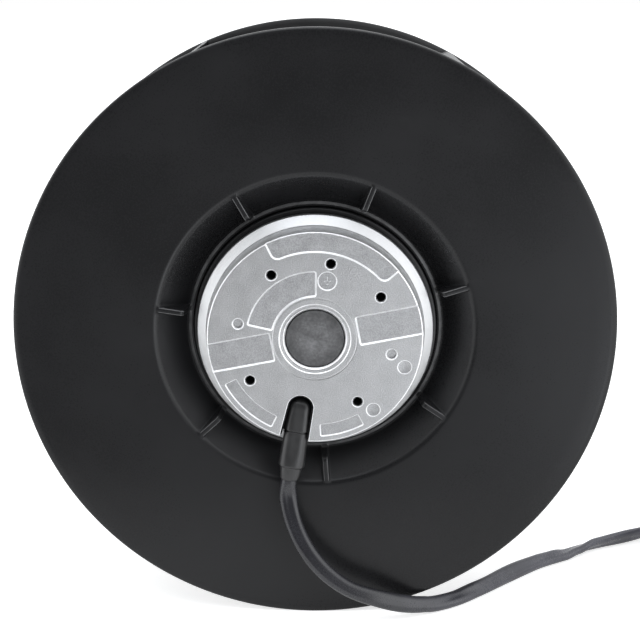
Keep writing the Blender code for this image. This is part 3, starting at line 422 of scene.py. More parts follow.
def recess(name: str, outline: Array, depth: float, lip: Array) -> Shape:
    """A cutter that follows an outline, and grows outwards near the face.

    Each row is the outline moved along its own outward direction, which is square to
    the chord between the points on either side.

    Args:
        name: The cutter's name.
        outline: Closed outline in (x, z).
        depth: Depth of its floor.
        lip: Rows of outward offset and depth.

    Returns:
        The closed cutter.
    """
    chord = unit(np.roll(outline, -1, axis=0) - np.roll(outline, 1, axis=0))
    outwards = np.column_stack((chord[:, 1], -chord[:, 0]))
    x, z = outline.T
    if np.sum(x * np.roll(z, -1) - np.roll(x, -1) * z) < 0:
        outwards = -outwards
    rows = np.vstack((lip, (0.0, depth)))
    return Shape(name).add(lifted(outline + rows[:, None, :1] * outwards, rows[:, 1:]))


def cut(target: Mesh, tools: Sequence[Shape]) -> Mesh:
    """A mesh with separate tools cut out of it, in one exact Boolean.

    Args:
        target: The mesh that is cut.
        tools: Closed shapes that don't touch each other.

    Returns:
        The new mesh, under the target's name.
    """
    kit = bpy.data.collections.new("tools")
    for tool in tools:
        kit.objects.link(bpy.data.objects.new(tool.name, tool.mesh()))
    blank = bpy.data.objects.new("blank", target)
    bpy.context.scene.collection.objects.link(blank)
    boolean = blank.modifiers.new("cut", "BOOLEAN")
    boolean.operation, boolean.solver = "DIFFERENCE", "EXACT"
    boolean.operand_type, boolean.collection = "COLLECTION", kit
    evaluated = blank.evaluated_get(bpy.context.evaluated_depsgraph_get())
    result = bpy.data.meshes.new_from_object(evaluated)
    for spent in [blank, *kit.objects]:
        bpy.data.objects.remove(spent)
    bpy.data.collections.remove(kit)
    name = target.name
    bpy.data.meshes.remove(target)
    work = bmesh.new()
    work.from_mesh(result)
    bmesh.ops.remove_doubles(work, verts=work.verts, dist=MERGE * MM)
    work.to_mesh(result)
    work.free()
    result.name = name
    return result


def soften_edges(piece: Piece, width: float, level: float | None = None) -> None:
    """Rounds a piece's outward edges with a bevel, keeping its flat faces flat.

    Args:
        piece: The piece.
        width: How far the rounding reaches on each side.
        level: Depth of the edges that are rounded, or None for all of them.
    """
    work = bmesh.new()
    work.from_mesh(piece.data)
    weights = work.edges.layers.float.new("bevel_weight_edge")
    for edge in work.edges:
        here = level is None or all(abs(end.co.y / MM - level) < 0.01 for end in edge.verts)
        if here and edge.is_convex and edge.calc_face_angle(0.0) > math.radians(35):
            edge[weights] = 1.0
    work.to_mesh(piece.data)
    work.free()
    bevel = piece.modifiers.new("edges", "BEVEL")
    bevel.width, bevel.segments, bevel.limit_method = width * MM, 3, "WEIGHT"
    bevel.use_clamp_overlap = bevel.loop_slide = False
    piece.data.shade_smooth()
    flats = piece.modifiers.new("flats", "WEIGHTED_NORMAL")
    flats.mode, flats.weight, flats.keep_sharp = "FACE_AREA", 100, False


def face_vectors(mesh: Mesh, name: str) -> Array:
    """The centre or the normal of each face of a mesh.

    Args:
        mesh: The mesh.
        name: "center", in metres, or "normal".

    Returns:
        One row for each face.
    """
    values = np.empty(len(mesh.polygons) * 3)
    mesh.polygons.foreach_get(name, values)
    return values.reshape(-1, 3)


def place_piece(
    mesh: Mesh, finish: "Finish", body: Body, replaces: Sequence[str] = (), sharp: float = 40.0
) -> Piece:
    """Puts a mesh into the scene as a piece of the fan.

    Args:
        mesh: The piece's mesh, in the fan's own frame.
        finish: What it looks like.
        body: The body that it rides on.
        replaces: CAD nodes that it stands for.
        sharp: Edges that turn more than this many degrees stay sharp.

    Returns:
        The piece's object.
    """
    mesh.shade_smooth()
    mesh.set_sharp_from_angle(angle=math.radians(sharp))
    mesh.materials.clear()
    mesh.materials.append(finish.material())
    piece = bpy.data.objects.new(mesh.name, mesh)
    bpy.context.scene.collection.objects.link(piece)
    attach(piece, body.value)
    if replaces:
        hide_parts(*replaces)
    LOG.info("%s: %d faces, on %s", piece.name, len(mesh.polygons), body.value)
    return piece


def add_finishes(mesh: Mesh, finishes: Sequence["Finish"], numbers: Array) -> None:
    """Gives some of a mesh's faces further finishes.

    Args:
        mesh: The mesh, which has its first finish.
        finishes: The further ones, numbered from 1.
        numbers: The number of each face's finish.
    """
    for finish in finishes:
        mesh.materials.append(finish.material())
    mesh.polygons.foreach_set("material_index", numbers.astype(np.int32))


# Finishes


class NodeSheet:
    """Adds and links the nodes of one material or node group."""

    def __init__(self, tree: bpy.types.NodeTree) -> None:
        """Starts on a node tree."""
        self.tree = tree

    def add(self, kind: str, inputs: dict | None = None, **settings: object) -> bpy.types.Node:
        """Adds a node.

        Args:
            kind: The node's type, without its ShaderNode prefix.
            inputs: Values or sockets by input name or number.
            **settings: The node's own properties.

        Returns:
            The node.
        """
        node = self.tree.nodes.new(kind if kind.startswith("Node") else "ShaderNode" + kind)
        for name, value in settings.items():
            setattr(node, name, value)
        for name, value in (inputs or {}).items():
            self.join(value, node.inputs[name])
        return node

    def join(self, value: object, socket: Socket) -> None:
        """Links a socket to an input, or sets the input to a plain value.

        Args:
            value: The socket or the plain value.
            socket: The input.
        """
        if isinstance(value, bpy.types.NodeSocket):
            self.tree.links.new(value, socket)
        else:
            socket.default_value = value

    def math(self, operation: str, a: Value, b: Value = 0.0, clamp: bool = False) -> Socket:
        """The result of a Math node."""
        return self.add("Math", {0: a, 1: b}, operation=operation, use_clamp=clamp).outputs[0]

    def noise(self, where: Socket, scale: Value, detail: float) -> Socket:
        """The value of a noise."""
        inputs = {"Vector": where, "Scale": scale, "Detail": detail}
        return self.add("TexNoise", inputs).outputs["Fac"]

    def spread(
        self,
        value: Value,
        low: float,
        high: float,
        to_low: float,
        to_high: float,
        kind: str = "LINEAR",
    ) -> Socket:
        """A value mapped from one range to another and held inside it.

        Args:
            value: The value.
            low: Where the first range starts.
            high: Where it ends.
            to_low: Where the second range starts.
            to_high: Where it ends.
            kind: Blender's name for the way from one end to the other.

        Returns:
            The mapped value.
        """
        names = ("Value", "From Min", "From Max", "To Min", "To Max")
        ends = dict(zip(names, (value, low, high, to_low, to_high)))
        return self.add("MapRange", ends, interpolation_type=kind).outputs["Result"]

    def scaled(self, colour: Value, factor: Value) -> Socket:
        """A colour times a factor."""
        return self.add("VectorMath", {0: colour, "Scale": factor}, operation="SCALE").outputs[0]

    def axis_radius(self, x: Socket, z: Socket) -> Socket:
        """The distance from the fan axis: the root of x squared and z squared."""
        squares = [self.math("POWER", part, 2.0) for part in (x, z)]
        return self.math("SQRT", self.math("ADD", *squares))


@dataclass
class Effects:
    """Builds the node groups that several finishes share, each once.

    Attributes:
        sheet: Where a group's nodes go.
        given: The group's inputs by name.
    """

    sheet: NodeSheet
    given: bpy.types.NodeOutputs

    @staticmethod
    @cache
    def get(name: str) -> bpy.types.NodeTree:
        """The named group, built on its first use.

        Args:
            name: The name of one of the methods below.

        Returns:
            The group.
        """
        inputs, outputs = {
            "grain": ({"Size": 1.0, "Coarse": 0.4}, ("Height", "Mask")),
            "drift": (
                {"Colour": (0.5, 0.5, 0.5, 1.0), "Size": 30.0, "Spread": 0.1},
                ("Colour", "Mask"),
            ),
            "rubs": ({"Size": 12.0, "Amount": 0.5}, ("Mask",)),
            "turning": ({"Pitch": 0.2}, ("Height",)),
            "pale_centre": ({"Amount": 0.5}, ("Factor",)),
            "painted_floor_light": ({"Amount": 1.0}, ("Factor",)),
        }[name]
        tree = bpy.data.node_groups.new(name, "ShaderNodeTree")
        tree.interface.new_socket("Vector", in_out="INPUT", socket_type="NodeSocketVector")
        for label, value in inputs.items():
            kind = "NodeSocketColor" if label == "Colour" else "NodeSocketFloat"
            tree.interface.new_socket(label, in_out="INPUT", socket_type=kind).default_value = value
        for label in outputs:
            kind = "NodeSocketColor" if label == "Colour" else "NodeSocketFloat"
            tree.interface.new_socket(label, in_out="OUTPUT", socket_type=kind)
        sheet = NodeSheet(tree)
        effect = Effects(sheet, sheet.add("NodeGroupInput").outputs)
        sheet.add("NodeGroupOutput", dict(zip(outputs, getattr(effect, name)())))
        return tree

    def scale(self, size: str) -> Socket:
        """A noise's scale: 1000 over a size in mm."""
        return self.sheet.math("DIVIDE", 1000.0, self.given[size])

    def grain(self) -> tuple[Socket, Socket]:
        """A moulded or cast skin: a fine noise and a share of one four times as coarse.

        Returns:
            Its height, and a mask of the fine noise.
        """
        scale, where = self.scale("Size"), self.given["Vector"]
        fine = self.sheet.noise(where, scale, 3.0)
        coarse = self.sheet.noise(where, self.sheet.math("DIVIDE", scale, 4.0), 2.0)
        share = self.sheet.math("MULTIPLY", coarse, self.given["Coarse"])
        return self.sheet.math("ADD", fine, share), self.sheet.spread(fine, 0.35, 0.65, 0.0, 1.0)

    def drift(self) -> tuple[Socket, Socket]:
        """A colour that drifts slowly between a darker and a lighter tone of itself.

        Returns:
            The colour, and a mask of the lighter places.
        """
        noise = self.sheet.noise(self.given["Vector"], self.scale("Size"), 4.0)
        mask = self.sheet.spread(noise, 0.3, 0.7, 0.0, 1.0)
        centred = self.sheet.math("SUBTRACT", mask, 0.5)
        swing = self.sheet.math("MULTIPLY", centred, self.given["Spread"])
        return self.sheet.scaled(self.given["Colour"], self.sheet.math("ADD", swing, 1.0)), mask

    def rubs(self) -> tuple[Socket]:
        """Thin pale streaks from handling: a stretched noise, kept only at its peaks.

        Returns:
            A mask of the streaks.
        """
        scale, where = self.scale("Size"), self.given["Vector"]
        squeeze = {"Vector": where, "Rotation": (0.3, 0.9, 0.5), "Scale": (1.0, 0.2, 6.0)}
        streaks = self.sheet.noise(self.sheet.add("Mapping", squeeze).outputs["Vector"], scale, 6.0)
        peaks = self.sheet.spread(streaks, 0.62, 0.74, 0.0, 1.0)
        place = self.sheet.spread(self.sheet.noise(where, scale, 2.0), 0.5, 0.65, 0.0, 1.0)
        mask = self.sheet.math("MULTIPLY", peaks, place)
        return (self.sheet.math("MULTIPLY", mask, self.given["Amount"], True),)

    def turning(self) -> tuple[Socket]:
        """Marks of a lathe tool: a noise that changes with the distance from the fan axis.

        Returns:
            Their height.
        """
        x, y, z = self.sheet.add("SeparateXYZ", {0: self.given["Vector"]}).outputs
        place = self.sheet.add("CombineXYZ", {0: self.sheet.axis_radius(x, z), 1: y}).outputs[0]
        return (self.sheet.noise(place, self.scale("Pitch"), 2.0),)

    def lightened(self, place: Socket, noise: tuple[float, float], span: Point) -> tuple[Socket]:
        """A factor of one, and more by an amount where a place shifted by a noise says so.

        Args:
            place: What the place is measured by.
            noise: The noise's scale and how far it shifts the place, in metres.
            span: Where the amount starts and ends, and its share at both.

        Returns:
            The factor.
        """
        patches = self.sheet.noise(self.given["Vector"], noise[0], 3.0)
        shifted = self.sheet.math("ADD", place, self.sheet.math("MULTIPLY", patches, noise[1]))
        gain = self.sheet.math("MULTIPLY", self.sheet.spread(shifted, *span), self.given["Amount"])
        return (self.sheet.math("ADD", gain, 1.0),)

    def pale_centre(self) -> tuple[Socket]:
        """A lighter colour round the fan axis, fading out unevenly between two radii.

        Returns:
            Its factor.
        """
        x, _, z = self.sheet.add("SeparateXYZ", {0: self.given["Vector"]}).outputs
        radius = self.sheet.axis_radius(x, z)
        return self.lightened(radius, (240.0, 0.006), (0.008, 0.0125, 1.0, 0.0))

    def painted_floor_light(self) -> tuple[Socket]:
        """Painted light from the floor on the part of the lead that lies on it: it grows unevenly
        along +X.
        """
        x = self.sheet.add("SeparateXYZ", {0: self.given["Vector"]}).outputs[0]
        return self.lightened(x, (90.0, 0.03), (0.045, 0.11, 0.0, 1.0))


@dataclass(frozen=True)
class Finish:
    """A procedural finish: a base colour with drift, grain and rubs, on one shader.

    Attributes:
        name: The material's name.
        slot: The record's slot for it.
        colour: Base colour, linear.
        roughness: Mean roughness.
        metallic: 1 for bare metal.
        drift_size: Size of the slow changes of tone, in mm.
        drift: How far the tone goes, as a share.
        grain_size: Size of the skin's grain, in mm.
        relief: Height of the grain's bump, in mm.
        rub: How strongly rubs show.
        rub_colour: Colour of the rubs, linear.
        specular: The shader's specular level.
        flecks: How far the grain lightens and darkens the colour, as a share.
        turning: Height of turning marks, in mm.
        pale_centre: How far the colour lightens towards the fan axis, as a share.
        painted_floor_light: How far the colour lightens along +X, as a share.
    """

    name: str
    slot: Slot
    colour: tuple[float, float, float]
    roughness: float
    metallic: float = 0.0
    drift_size: float = 30.0
    drift: float = 0.12
    grain_size: float = 0.5
    relief: float = 0.01
    rub: float = 0.0
    rub_colour: tuple[float, float, float] = (0.2, 0.2, 0.2)
    specular: float = 0.5
    flecks: float = 0.0
    turning: float = 0.0
    pale_centre: float = 0.0
    painted_floor_light: float = 0.0

    @cache
    def material(self) -> bpy.types.Material:
        """The material, built once: tone, roughness and relief follow Object coordinates.

        Returns:
            The material.
        """
        material = bpy.data.materials.new(self.name)
        material.use_nodes = True
        sheet = NodeSheet(material.node_tree)
        shader = material.node_tree.nodes["Principled BSDF"]
        where = sheet.add("TexCoord").outputs["Object"]

        def effect(name: str, **values: object) -> bpy.types.NodeOutputs:
            """The outputs of a shared effect, placed with its own values."""
            values["Vector"] = where
            return sheet.add("Group", values, node_tree=Effects.get(name)).outputs

        tone = effect("drift", Colour=(*self.colour, 1.0), Size=self.drift_size, Spread=self.drift)
        grain = effect("grain", Size=self.grain_size)
        fleck_and_painted_light = sheet.spread(grain["Mask"], 0.0, 1.0, 1 - self.flecks, 1 + self.flecks)
        # Lightens the colour towards the fan axis, and along +X as painted light from the floor.
        for name in ("pale_centre", "painted_floor_light"):
            if getattr(self, name):
                lighter = effect(name, Amount=getattr(self, name))["Factor"]
                fleck_and_painted_light = sheet.math("MULTIPLY", fleck_and_painted_light, lighter)
        colours = {
            0: effect("rubs", Amount=self.rub)["Mask"],
            6: sheet.scaled(tone["Colour"], fleck_and_painted_light),
            7: (*self.rub_colour, 1.0),
        }
        mixed = sheet.add("Mix", colours, data_type="RGBA", clamp_factor=True)
        swing = sheet.spread(tone["Mask"], 0.0, 1.0, self.roughness - 0.04, self.roughness + 0.04)
        speckle = sheet.spread(grain["Mask"], 0.0, 1.0, -0.03, 0.03)
        sheet.join(mixed.outputs[2], shader.inputs["Base Color"])
        sheet.join(sheet.math("ADD", swing, speckle), shader.inputs["Roughness"])
        shader.inputs["Metallic"].default_value = self.metallic
        shader.inputs["Specular IOR Level"].default_value = self.specular
        relief = {"Height": grain["Height"], "Distance": self.relief * MM, "Strength": 1.0}
        normal = sheet.add("Bump", relief).outputs["Normal"]
        if self.turning:
            marks = {"Height": effect("turning")["Height"], "Distance": self.turning * MM}
            marks |= {"Strength": 1.0, "Normal": normal}
            normal = sheet.add("Bump", marks).outputs["Normal"]
        sheet.join(normal, shader.inputs["Normal"])
        return material


CAST = {"slot": Slot.DIE_CAST, "metallic": 1.0}
PLASTIC = {"slot": Slot.BLACK_PLASTIC, "grain_size": 0.6}
SOFT = {"slot": Slot.GREY_RUBBER}
CASTING = Finish("cast_skin", colour=(0.45, 0.452, 0.459), roughness=0.42, drift_size=6.0,
                 drift=0.1, grain_size=0.42, relief=0.1, flecks=0.12, **CAST)
# Near-white metal for the sloping edges: painted highlight.
EDGE_HIGHLIGHT_METAL = Finish("edge_painted_highlight", colour=(0.86, 0.865, 0.875), roughness=0.42, drift_size=3.0,
                   drift=0.2, grain_size=0.6, relief=0.03, flecks=0.06, **CAST)
MACHINED = Finish("machined_metal", colour=(0.63, 0.634, 0.642), roughness=0.45, drift_size=3.0,
                  drift=0.1, **CAST)
# A darker copy of the cast skin for recess floors: painted shade.
SHADED_RECESS_CAST = Finish("cast_recess_painted_shade", colour=(0.41, 0.412, 0.42), roughness=0.45, drift_size=4.0,
                  drift=0.14, grain_size=0.42, relief=0.1, flecks=0.14, **CAST)
# Near black for the deep holes' walls: painted shade.
HOLE_SHADE_FINISH = Finish("thread_shade", Slot.DIE_CAST, (0.02, 0.02, 0.021), 0.6, specular=0.2, relief=0.08)
MOULDING = Finish("moulded_black", colour=(0.0115, 0.0115, 0.0123), roughness=0.29, drift_size=60.0,
                  drift=0.5, relief=0.008, rub=0.15, rub_colour=(0.035, 0.035, 0.036),
                  specular=0.27, **PLASTIC)
# A lighter matt copy of the black moulding: painted light.
MATT_PAINTED_LIGHT_MOULDING = Finish("matt_black_painted_light", colour=(0.045, 0.045, 0.046), roughness=0.5, drift=0.3,
                       specular=0.4, **PLASTIC)
# A lighter black for thin edges: painted highlight.
HIGHLIGHT_EDGE_BLACK = Finish("black_edge_painted_highlight", Slot.BLACK_PLASTIC, (0.1, 0.1, 0.102), 0.34, 0.0, 4.0, 0.8)
PAINTED_CAN = Finish("painted_steel", Slot.BLACK_STEEL, (0.012, 0.012, 0.013), 0.38, drift=0.3,
                     grain_size=0.8, relief=0.015)
RACE_STEEL = Finish("ground_steel", Slot.BEARING_STEEL, (0.55, 0.55, 0.56), 0.22, 1.0, drift=0.05,
                    relief=0.002, turning=0.004)
ZINC = Finish("zinc_steel", Slot.BRIGHT_STEEL, (0.5, 0.5, 0.51), 0.3, 1.0, 3.0, 0.15, relief=0.004)
SHEET_STACK = Finish("sheet_stack", Slot.LAMINATION, (0.2, 0.2, 0.21), 0.5, 1.0, drift=0.2)
WIRE = Finish("enamelled_wire", Slot.COPPER, (0.55, 0.2, 0.08), 0.35, 1.0, 2.0, 0.3, relief=0.1)
END_PLATE = Finish("end_plate", Slot.INSULATION, (0.7, 0.68, 0.6), 0.55, drift=0.08)
RUBBER = Finish("grommet_rubber", colour=(0.019, 0.019, 0.0195), roughness=0.34, drift_size=5.0,
                drift=0.6, relief=0.03, specular=0.6, **SOFT)
# Near-black matt rubber for the cable slot: painted shade.
SLOT_SHADE_RUBBER = Finish("slot_shade_rubber", colour=(0.008, 0.008, 0.009), roughness=0.8, drift=0.2,
                     specular=0.2, **SOFT)
CAP_RUBBER = Finish("cap_rubber", colour=(0.065, 0.065, 0.067), roughness=0.6, drift_size=4.5,
                    drift=0.7, grain_size=0.9, relief=0.08, flecks=0.2, pale_centre=0.75, **SOFT)
# The sleeve lightens along +X: painted light from the floor where it lies on it.
SLEEVING = Finish("sleeving", Slot.SLEEVE, (0.022, 0.022, 0.026), 0.27, drift_size=14.0, drift=0.4,
                  grain_size=0.4, relief=0.015, specular=0.6, painted_floor_light=3.6)
NYLON = Finish("white_nylon", Slot.WHITE_NYLON, (0.75, 0.75, 0.73), 0.45, drift=0.05)


# Wheel


class DiscFace(IntEnum):
    """The kinds of face on the back disc, numbered as its finishes are."""

    PLAIN = 0
    HIGHLIGHT_LINE = 1
    MATT_PAINTED_LIGHT = 2


@dataclass
class Wheel:
    """The moulded impeller: back disc, blades and front ring. Sizes in millimetres."""

    radius: float = 112.5
    rim_plane: float = 6.0
    bead_height: float = 1.6
    rim_lift: float = 0.1
    rim_round: float = 2.8
    rim_fall: float = 0.9
    wall: float = 2.2
    dish: float = 0.9
    shoulder_radius: float = 59.6
    cone_depth: float = 11.2
    collar_bore: float = 46.3
    collar_wall: float = 2.0
    collar_lip: float = 0.8
    boss_bore: float = 38.6
    hub_floor: float = 54.5
    hub_wall: float = 2.7
    gusset_wall: float = 1.9
    gusset_edge: float = 0.26
    gusset_root: float = 1.0
    gusset_angle: float = 17.1
    gusset_reach: tuple[float, float] = (46.0, 64.0)
    plain_reach: tuple[float, float] = (64.5, 104.0)
    rim_reach: float = 105.5
    blades: int = 7
    blade_wall: float = 2.0
    blade_angle: float = 9.6
    blade_sweep: float = 58.9
    outlet: float = 60.2
    eye_radius: float = 75.0
    eye_height: float = 27.0
    eye_set_back: float = 4.0
    ring_inset: float = 0.3
    edge_inset: float = 0.2
    sunk: float = 0.2
    root_fillet: float = 1.2
    finish: Finish = MOULDING

    @property
    def pitch(self) -> float:
        """The angle from one blade to the next."""
        return 360 / self.blades

    @property
    def disc_face(self) -> float:
        """Depth of the disc's face at its bead."""
        return self.rim_plane + self.bead_height

    @property
    def rim_face(self) -> float:
        """Depth at which the disc's face would meet the rim, but for the rounding."""
        return self.rim_plane + self.rim_lift

    @property
    def shoulder_face(self) -> float:
        """Depth of the disc's face at its shoulder."""
        return self.disc_face + self.dish

    @property
    def root_radius(self) -> float:
        """Radius at which the blades start on the disc."""
        return self.shoulder_radius + self.wall

    @property
    def collar_radius(self) -> float:
        """Outer radius of the collar."""
        return self.collar_bore + self.collar_wall

    @property
    def cone_foot(self) -> float:
        """Depth of the cone's foot."""
        return self.shoulder_face + self.cone_depth

    @property
    def lip_face(self) -> float:
        """Depth of the collar's lip."""
        return self.cone_foot - self.collar_lip

    def face_level(self, radius: Array | float) -> Array | float:
        """Depth of the disc's straight face at a radius, from the shoulder to the rim."""
        ends = (self.shoulder_radius, self.radius)
        return np.interp(radius, ends, (self.shoulder_face, self.rim_face))

    def face_side(self) -> Array:
        """The back disc's profile that looks towards -Y, from the hub floor to the rim.

        Its rim is a quarter of an ellipse.

        Returns:
            Rows of radius and depth.
        """
        lip, start = self.lip_face, self.radius - self.rim_round
        end = (start, self.face_level(start))
        body = filleted(
            [
                (self.boss_bore, self.hub_floor, 0.0),
                (self.collar_bore, self.hub_floor, 0.4),
                (self.collar_bore, lip + 0.15, 0.25),
                (self.collar_radius - 1.2, lip, 0.8),
                (self.collar_radius, lip + 0.6, 0.5),
                (self.collar_radius + 0.05, self.cone_foot + 0.35, 0.2),
                (self.collar_radius + 0.8, self.cone_foot, 0.5),
                (self.shoulder_radius, self.shoulder_face, 3.2),
                (*end, 0.0),
            ],
            closed=False,
            step=8,
        )
        angle = np.linspace(0, math.pi / 2, 10)[1:]
        rim = np.column_stack((self.rim_round * np.sin(angle), self.rim_fall * (1 - np.cos(angle))))
        return np.vstack((body, rim + end))

    def air_side(self) -> Array:
        """The back disc's profile on the blades' side, from the rim to the hub's end.

        Returns:
            Rows of radius and depth.
        """
        rim, end = self.disc_face + self.wall, self.hub_floor + self.hub_wall
        corners = [
            (self.radius, rim - 0.7, 0.0),
            (self.radius, rim, 0.5),
            (self.shoulder_radius + self.wall / 2, self.shoulder_face + self.wall, 6.0),
            (self.collar_radius, self.cone_foot + 1.6 * self.wall, 3.0),
            (self.collar_radius, end, 1.5),
            (self.boss_bore, end, 0.5),
            (self.boss_bore, self.hub_floor, 0.0),
        ]
        return filleted(corners, closed=False)

    def gusset_top(self, radius: Array) -> Array:
        """Depth of a gusset's top: up its inner end, then level.

        Args:
            radius: Where it is wanted.

        Returns:
            A depth for each radius, far down beyond both ends.
        """
        top = self.shoulder_face + 0.1
        corners = [
            (self.collar_radius - 0.7, self.lip_face + 0.9, 0.0),
            (self.collar_radius + 1.4, top, 1.6),
            (self.shoulder_radius + 2.0, top, 0.0),
        ]
        return np.interp(radius, *filleted(corners, closed=False, step=6).T, left=FAR, right=FAR)

    def disc_rows(self) -> tuple[Array, int]:
        """The back disc's whole profile, fine where the gussets rise.

        Returns:
            Rows of radius and depth, and how many of them lie on the face.
        """
        coarse = self.face_side()
        fine = refined(coarse, 0.6)
        start, end = self.gusset_reach
        near = fine[(fine[:, 0] > start) & (fine[:, 0] < end)]
        flat = np.linspace(*self.plain_reach, 12)
        plain = np.column_stack((flat, self.face_level(flat)))
        hub, rim = coarse[coarse[:, 0] <= start], coarse[coarse[:, 0] > self.rim_reach]
        face = np.vstack((hub, near, plain, rim))
        return np.vstack((face, refined(self.air_side(), 6.0)[1:-1])), len(face)

    def disc_columns(self) -> Array:
        """The back disc's columns: close beside each gusset, and evenly spaced between.

        Returns:
            Rows of angle, distance from a gusset's middle plane, the most that the
            column may rise, and how far the gusset's top edge is rounded off there.
        """
        half, edge, root = self.gusset_wall / 2, self.gusset_edge, self.gusset_root
        foot, top = np.radians((0, 22.5, 45, 67.5, 90)), np.radians((0, 30, 60, 90))
        side = (half + root * (1 - np.sin(foot)), root * (1 - np.cos(foot)), 0 * foot)
        crown = (half - edge * (1 - np.cos(top)), FAR + 0 * top, edge * (1 - np.sin(top)))
        beside = np.vstack((np.column_stack(side), np.column_stack(crown)))
        beside = np.vstack((beside * (-1, 1, 1), beside[::-1]))
        clear = math.degrees(1.15 * (half + root) / self.collar_radius)
        between = np.linspace(clear, self.pitch - clear, 32)
        sector = np.zeros((len(beside) + len(between), 4))
        sector[: len(beside), 1:] = beside
        sector[len(beside) :, 0] = between
        columns = np.tile(sector, (self.blades, 1))
        middles = self.gusset_angle + np.arange(self.blades) * self.pitch
        columns[:, 0] += np.repeat(middles, len(sector))
        return columns

    def back_disc(self) -> None:
        """Makes the back disc on one grid, with its gussets raised out of the cone.

        The columns beside a gusset keep a fixed distance from its middle plane, at the
        angle whose sine is that distance over the radius. Each rises from the cone by
        its own share of the root fillet, or by the gusset's whole height less the
        rounding of its top edge.
        """
        profile, rows = self.disc_rows()
        turn, offset, rise, sink = self.disc_columns().T
        radius, base = profile[:, :1], profile[:, 1:]
        height = np.clip(base - self.gusset_top(radius), 0, None)
        height[rows:] = 0
        depth = base - np.minimum(rise, np.clip(height - sink, 0, None))
        flat = polar(radius, turn + np.degrees(np.arcsin(offset / radius)))
        mesh = Shape("moulded_back_disc").add(lifted(flat, depth), wrap_rows=True).mesh()
        place_piece(mesh, self.finish, Body.ROTOR, ["back_disc"], sharp=50)
        # Lighter plastic is a painted highlight on the gussets' edges and the collar's lip, and
        # painted light on the rim's edge.
        add_finishes(mesh, [HIGHLIGHT_EDGE_BLACK, MATT_PAINTED_LIGHT_MOULDING], self.finished_as(mesh))

    def finished_as(self, mesh: Mesh) -> Array:
        """The number of each face's finish on the back disc.

        The gussets' edges and the collar's lip get a lighter black, a painted highlight, and
        the rim's edge a lighter matt black, painted light. A face is on a gusset's edge where
        its distance from the nearest gusset's middle plane, the radius times the sine of the
        angle to it, is about half the wall.

        Args:
            mesh: The back disc's mesh.

        Returns:
            The numbers.
        """
        x, y, z = face_vectors(mesh, "center").T / MM
        radius, half, middle = np.hypot(x, z), self.gusset_wall / 2, self.pitch / 2
        turn = (np.degrees(np.arctan2(z, x)) - self.gusset_angle + middle) % self.pitch - middle
        off = np.abs(radius * np.sin(np.radians(turn)))
        ends = (self.collar_radius, self.shoulder_radius)
        cone = np.interp(radius, ends, (self.cone_foot, self.shoulder_face))
        raised = (cone - y > 0.5) & (y < self.shoulder_face + 0.9) & (radius < self.shoulder_radius)
        edge = raised & (off > half - self.gusset_edge) & (off < half + 0.01)
        lip = (np.abs(radius - self.collar_radius + 0.65) < 0.55) & (y < self.cone_foot)
        rim = (radius > self.radius - 0.42) & (y < self.rim_face + 1.5 * self.rim_fall)
        return np.where(edge | lip, DiscFace.HIGHLIGHT_LINE, np.where(rim, DiscFace.MATT_PAINTED_LIGHT, DiscFace.PLAIN))

    def ring_path(self, count: int = 28) -> Array:
        """The front ring's air side, a cubic curve from the rim to the end of the eye.

        Args:
            count: Steps along it.

        Returns:
            Rows of radius and depth.
        """
        edge = self.disc_face + self.wall + self.outlet
        rim, eye = np.array(((self.radius, edge), (self.eye_radius, edge + self.eye_height)))
        near_rim, near_eye = rim + (eye - rim) * (0.44, 0.055), eye - (eye - rim) * (0.04, 0.63)
        t = np.linspace(0, 1, count + 1)[:, None]
        u = 1 - t
        return u**3 * rim + 3 * u**2 * t * near_rim + 3 * u * t**2 * near_eye + t**3 * eye

    def front_ring(self) -> None:
        """Makes the front ring, a turned shell with half-round edges at the rim and the eye."""
        inside = self.ring_path()
        along = tangents(inside)
        outside = inside + self.wall * np.column_stack((along[:, 1], -along[:, 0]))
        outside[0] = inside[0] + (0.0, self.wall)
        eye_round = half_round(inside[-1], outside[-1], inside[-1] - inside[-2])
        inside[0, 0] -= self.ring_inset
        outside[0, 0] -= self.ring_inset
        rim_round = half_round(outside[0], inside[0], np.array((1.0, 0.0)))
        rim_round[:, 0] = np.minimum(rim_round[:, 0], self.radius)
        profile = np.vstack((inside, eye_round, outside[::-1], rim_round))
        mesh = Shape("moulded_front_ring").add(turned(profile, 252), wrap_rows=True).mesh()
        place_piece(mesh, self.finish, Body.ROTOR, ["front_ring"], sharp=60)
        # Faces turned towards -Y take the lighter matt copy: painted light.
        add_finishes(mesh, [MATT_PAINTED_LIGHT_MOULDING], face_vectors(mesh, "normal")[:, 1] < -0.25)

    def camber(self, radius: Array) -> Array:
        """Points of the blades' middle line: the angle falls with the logarithm of the radius."""
        share = np.log(radius / self.root_radius) / math.log(self.radius / self.root_radius)
        return polar(radius, self.blade_angle + self.blade_sweep * (1 - share))

